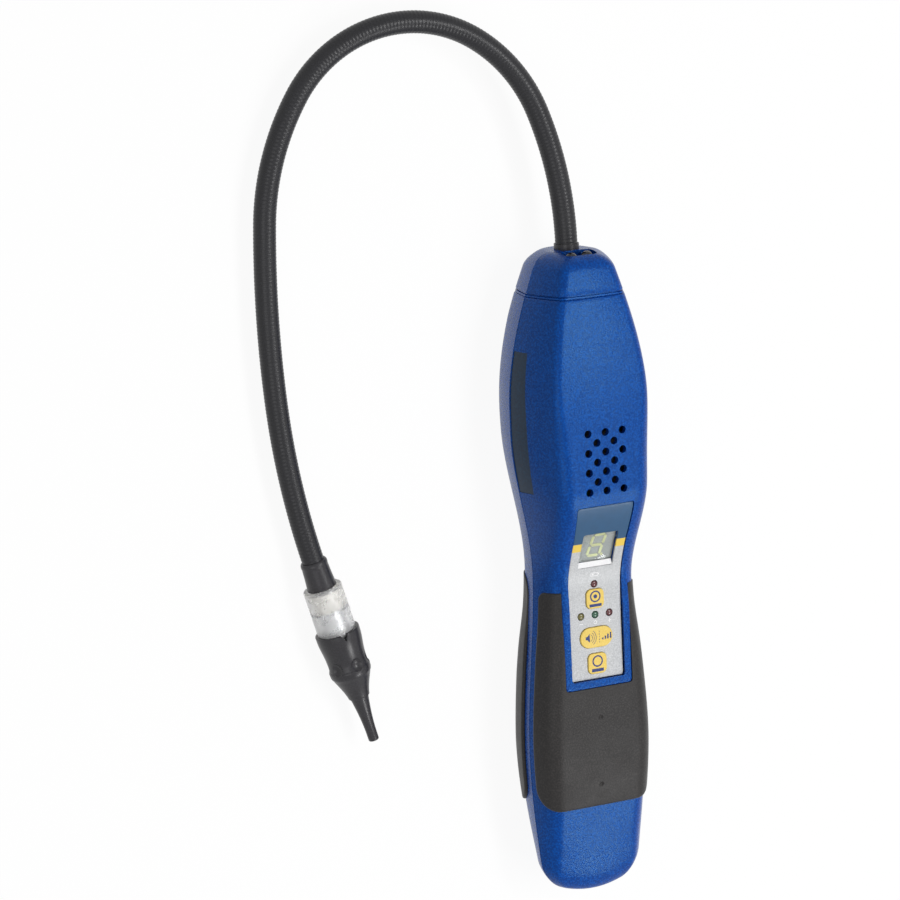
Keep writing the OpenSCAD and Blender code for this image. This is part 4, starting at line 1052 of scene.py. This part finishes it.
def buildNeck():
    rule = Rule("gooseneckSleeve", sleeve)
    curve = rule.node("GeometryNodeMeshToCurve", {}, {0: rule.mesh})
    even = rule.node("GeometryNodeResampleCurve", {}, {"Curve": curve, "Count": neck["rings"]})
    run = rule.node("GeometryNodeSplineParameter", {}, {}, "Length")
    wave = rule.node("ShaderNodeMath", {"operation": "SINE"}, {0: run*(2*math.pi)/rule.size("Pitch")})
    width = rule.size("Radius") - rule.size("Rib") + wave*rule.size("Rib")
    circle = rule.node("GeometryNodeCurvePrimitiveCircle", {}, {"Resolution": 28, "Radius": 1.0})
    skin = rule.node("GeometryNodeCurveToMesh", {}, {"Curve": even, "Profile Curve": circle, "Scale": width,
                                                     "Fill Caps": True})
    rule.finish(skin, "sleeve")
    place = neckFrame()
    line = [tuple(place @ Vector((x, y, 0))) for x, y in neckLine()[0]]
    made = rule.grow(line, [(k, k + 1) for k in range(len(line) - 1)], "sleeve", "housing", 60)
    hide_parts("neck_sleeve")
    return made


gooseneck = buildNeck()
print("gooseneck:", len(gooseneck.data.polygons), "faces")

# Sensor tip: ferrule, clear barrel, cap with scoops and nozzle; heights from the gooseneck's end
tip = {"ferrule": 12.0, "barrelR": 7.1, "spigotR": 6.4, "wall": 1.2, "start": 28.0, "scoopR": 3.4,
       "scoopZ": 40.4, "scoopReach": 9.7, "scoopTurn": 0.365, "scoops": 6}


def buildTip():
    place = tipFrame()
    ferrule = [(4.12, 0.0), (4.4, 0.0), (4.75, 0.35), (4.95, 1.0), (4.98, 1.6), (4.85, 2.1), (4.88, 2.6),
               (5.05, 6.0), (5.4, 10.3), (5.38, 12.0), (0.01, 12.0), (0.01, 9.0), (3.2, 9.0), (3.2, 8.0),
               (4.12, 8.0)]
    made = turned("tipFerrule", ferrule, place, "black", "housing", 64)
    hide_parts("ferrule")
    r, w, f = tip["barrelR"], tip["wall"], tip["ferrule"]
    p = tip["spigotR"]
    outer = [(r - w, 0), (5.45, 0), (5.45, -1.4), (r - 0.5, -1.4)] + arc(r - 0.5, -0.9, 0.5, -70, 0, 4)
    outer += [(r, 6.4), (r - 0.12, 6.6), (r - 0.12, 6.9), (r, 7.1), (r, 15.7), (r - 0.3, 16.0), (p, 16.0),
              (p, 17.35), (6.0, 17.35), (6.0, 17.85), (p, 17.85), (p, 21.0), (5.5, 21.0), (5.5, 15.6),
              (r - w, 15.2), (r - w, 9.0), (r - w - 0.25, 8.6), (r - w - 0.25, 8.2), (r - w, 7.8)]
    barrel = turned("clearBarrel", outer, tipFrame(f), "clear", "housing", 96)
    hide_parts("clear_barrel")
    s = tip["start"]
    profile = [(6.65, s), (7.9, s)] + arc(7.9, s + 0.3, 0.3, -60, 0, 3) + [(8.2, s + 1.6)] \
        + [(8.2 - 0.9*easeStep(k/8), s + 1.9 + 9.1*k/8) for k in range(9)] \
        + [(7.3, s + 14.1), (7.42, s + 14.3), (7.66, s + 14.7), (7.7, s + 15.1), (7.62, s + 16.6),
           (7.4, s + 17.3), (7.1, s + 17.7)]
    profile += [(7.1 - 3.15*(1 - (1 - k/10)**1.25), s + 17.9 + 8.6*k/10) for k in range(1, 11)]
    profile += [(3.9, s + 26.6), (3.45, s + 26.75)]
    profile += [(3.4 - 1.45*math.sin(math.pi/2*min(1, k/11))**0.9, s + 27 + 16.6*k/12) for k in range(13)]
    profile += [(1.9, s + 44.2), (1.75, s + 44.4), (1.1, s + 44.4), (1.1, s + 26.5), (5.7, s + 17.7),
                (5.7, s + 6.0), (6.65, s + 6.0)]
    made = turned("tipCap", profile, place, "black", "tip_cap", 96)
    cutters = []
    for k in range(tip["scoops"]):
        turn = Matrix.Rotation(2*math.pi*(k + tip["scoopTurn"])/tip["scoops"], 4, "Z")
        ball = place @ turn @ Matrix.Translation((tip["scoopReach"], 0, tip["scoopZ"]))
        outline = [(0.01, -tip["scoopR"])] + arc(0, 0, tip["scoopR"], -82, 78, 20) + [(0.01, tip["scoopR"])]
        cutters.append(turned("cutter", outline, ball, "black", None, 48))
    notch = place @ Matrix.Translation((0, 0, s)) @ Matrix.Rotation(math.pi/2, 4, "X")
    cutters.append(prism("cutter", [(-1.3, -1), (1.3, -1), (1.3, 0), (0, 2.4), (-1.3, 0)], 6.2, 9.5, notch))
    carve(made, cutters, angle=32)
    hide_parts("tip_cap")


buildTip()
print("tip done")

# Screws: heads with a cross recess, one at each place
screws = {"Head": 2.7*mm, "Height": 2.0*mm}


def buildScrews():
    rule = Rule("caseScrews", screws)
    head = rule.node("GeometryNodeMeshCylinder", {}, {"Vertices": 40, "Radius": rule.size("Head"),
                                                      "Depth": rule.size("Height")})
    shank = rule.node("GeometryNodeMeshCylinder", {}, {"Vertices": 24, "Radius": 1.3*mm, "Depth": 11.7*mm})
    moved = rule.node("GeometryNodeTransform", {}, {0: shank, "Translation": (0, 0, 6.6*mm)})
    both = rule.node("GeometryNodeJoinGeometry", {}, {})
    rule.tree.links.new(head.socket, both.socket.node.inputs[0])
    rule.tree.links.new(moved.socket, both.socket.node.inputs[0])
    placed = rule.node("GeometryNodeInstanceOnPoints", {}, {"Points": rule.mesh, "Instance": both})
    rule.finish(placed, "steel")
    z = shell["seamZ"] - 8 - 1.0
    made = rule.grow([(x, y - shell["restY"], z) for x, y in screwPlaces], [], "steel", "housing")
    cutters = []
    for x, y in screwPlaces:
        for turn in (0, math.pi/2):
            spot = Matrix.Translation((x, y - shell["restY"], z - 1.0)) @ Matrix.Rotation(turn, 4, "Z")
            slotShape = [(-1.5, -0.35), (1.5, -0.35), (1.5, 0.35), (-1.5, 0.35)]
            cutters.append(prism("cutter", slotShape, -0.5, 1.1, spot))
    carve(made, cutters)
    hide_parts("case_screws")


# Coil springs of the battery contacts
coils = {"Turns": 4.5, "Wire": 0.35*mm, "Base": 4.0*mm, "Tip": 2.8*mm, "Height": 4.3*mm}


def buildSprings():
    rule = Rule("contactSprings", coils)
    sizes = {"Resolution": 32, "Rotations": rule.size("Turns"), "Start Radius": rule.size("Base"),
             "End Radius": rule.size("Tip"), "Height": rule.size("Height")}
    spiral = rule.node("GeometryNodeCurveSpiral", {}, sizes)
    wire = rule.node("GeometryNodeCurvePrimitiveCircle", {}, {"Resolution": 10, "Radius": rule.size("Wire")})
    coil = rule.node("GeometryNodeCurveToMesh", {}, {"Curve": spiral, "Profile Curve": wire,
                                                     "Fill Caps": True})
    turnedCoil = rule.node("GeometryNodeTransform", {}, {0: coil, "Rotation": (-math.pi/2, 0, 0)})
    placed = rule.node("GeometryNodeInstanceOnPoints", {}, {"Points": rule.mesh, "Instance": turnedCoil})
    rule.finish(placed, "steel")
    places = [(x, 21.4 - shell["restY"], shell["seamZ"] - 5.8) for x in (-7.4, 7.4)]
    made = rule.grow(places, [], "steel", "housing")
    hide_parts("contact_springs")


buildScrews()
buildSprings()
print("screws and springs done")

# Finishes of the nodes that keep their CAD shape
kept = {"digit_display": "display", "digit_segments": "segment", "dome_switches": "steel",
        "main_board": "board", "speaker": "cone", "cell_1": "cell", "cell_2": "cell", "cell_3": "cell",
        "cell_4": "cell",
        "contact_plates": "steel", "lamp_board": "board", "neck_collar": "black", "neck_nut": "steel",
        "neck_core": "braid", "sensor_socket": "ivory", "sensor_element": "can", "barrel_ring": "seal"}
for node, finish in kept.items():
    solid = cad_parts[node]
    solid.data.materials.clear()
    solid.data.materials.append(finishes[finish])


# Floor, world and lamps; a lamp has its place, width, length, power and whether gloss shows it
studio = {"floorWhite": 0.86, "glow": 0.93, "world": 0.3, "floorSide": 6.0, "floorZ": -0.0002,
          "lamps": {"keyLamp": ((0.6, -0.3, 1.6), 0.7, 0.7, 11, False),
                    "headLamp": ((0.6, 0.3, 1.5), 0.72, 0.28, 8.5, True),
                    "footLamp": ((0.78, -1.06, 1.5), 0.45, 0.4, 8, True),
                    "sideLamp": ((-1.2, -0.2, 1.5), 0.9, 0.9, 4, True)}}


# Share of the backdrop's white that a ray meets: all of it seen directly, in glass or in a mirror
def seenDirectly(wires):
    path = wires.node("ShaderNodeLightPath")
    outputs = path.socket.node.outputs
    seen = path.join("MAXIMUM", Value(wires, outputs["Is Transmission Ray"]))
    return seen.join("MAXIMUM", Value(wires, outputs["Is Glossy Ray"]))


def buildStudio():
    mesh = bpy.data.meshes.new("floor")
    side, low = studio["floorSide"], studio["floorZ"]
    corners = [(-side, -side, low), (side, -side, low), (side, side, low), (-side, side, low)]
    mesh.from_pydata(corners, [], [(0, 1, 2, 3)])
    floor = bpy.data.objects.new("floor", mesh)
    bpy.context.scene.collection.objects.link(floor)
    material = bpy.data.materials.new("floorWhite")
    material.use_nodes = True
    wires = Wires(material.node_tree)
    wires.tree.nodes.clear()
    grey = studio["floorWhite"]
    diffuse = wires.node("ShaderNodeBsdfDiffuse", {}, {"Color": (grey, grey, grey, 1)})
    glow = wires.node("ShaderNodeEmission", {}, {"Color": (1, 1, 1, 1), "Strength": 1.0})
    share = seenDirectly(wires)*studio["glow"]
    mixed = wires.node("ShaderNodeMixShader", {}, {0: share, 1: diffuse, 2: glow})
    wires.node("ShaderNodeOutputMaterial", {}, {0: mixed})
    mesh.materials.append(material)
    world = bpy.data.worlds.new("world")
    bpy.context.scene.world = world
    world.use_nodes = True
    wires = Wires(world.node_tree)
    wires.tree.nodes.clear()
    level = seenDirectly(wires)*(1 - studio["world"]) + studio["world"]
    back = wires.node("ShaderNodeBackground", {}, {"Color": (1, 1, 1, 1), "Strength": level})
    wires.node("ShaderNodeOutputWorld", {}, {0: back})
    for name, (place, width, length, power, mirrored) in studio["lamps"].items():
        data = bpy.data.lights.new(name, "AREA")
        data.shape = "RECTANGLE"
        data.size = width
        data.size_y = length
        data.energy = power
        lamp = bpy.data.objects.new(name, data)
        bpy.context.scene.collection.objects.link(lamp)
        lamp.location = place
        lamp.visible_glossy = mirrored
        aim = Vector((-0.03, -0.02, 0.02)) - Vector(place)
        lamp.rotation_euler = aim.to_track_quat("-Z", "Y").to_euler()


buildStudio()
bpy.context.scene.view_settings.view_transform = "Standard"
print("studio done")
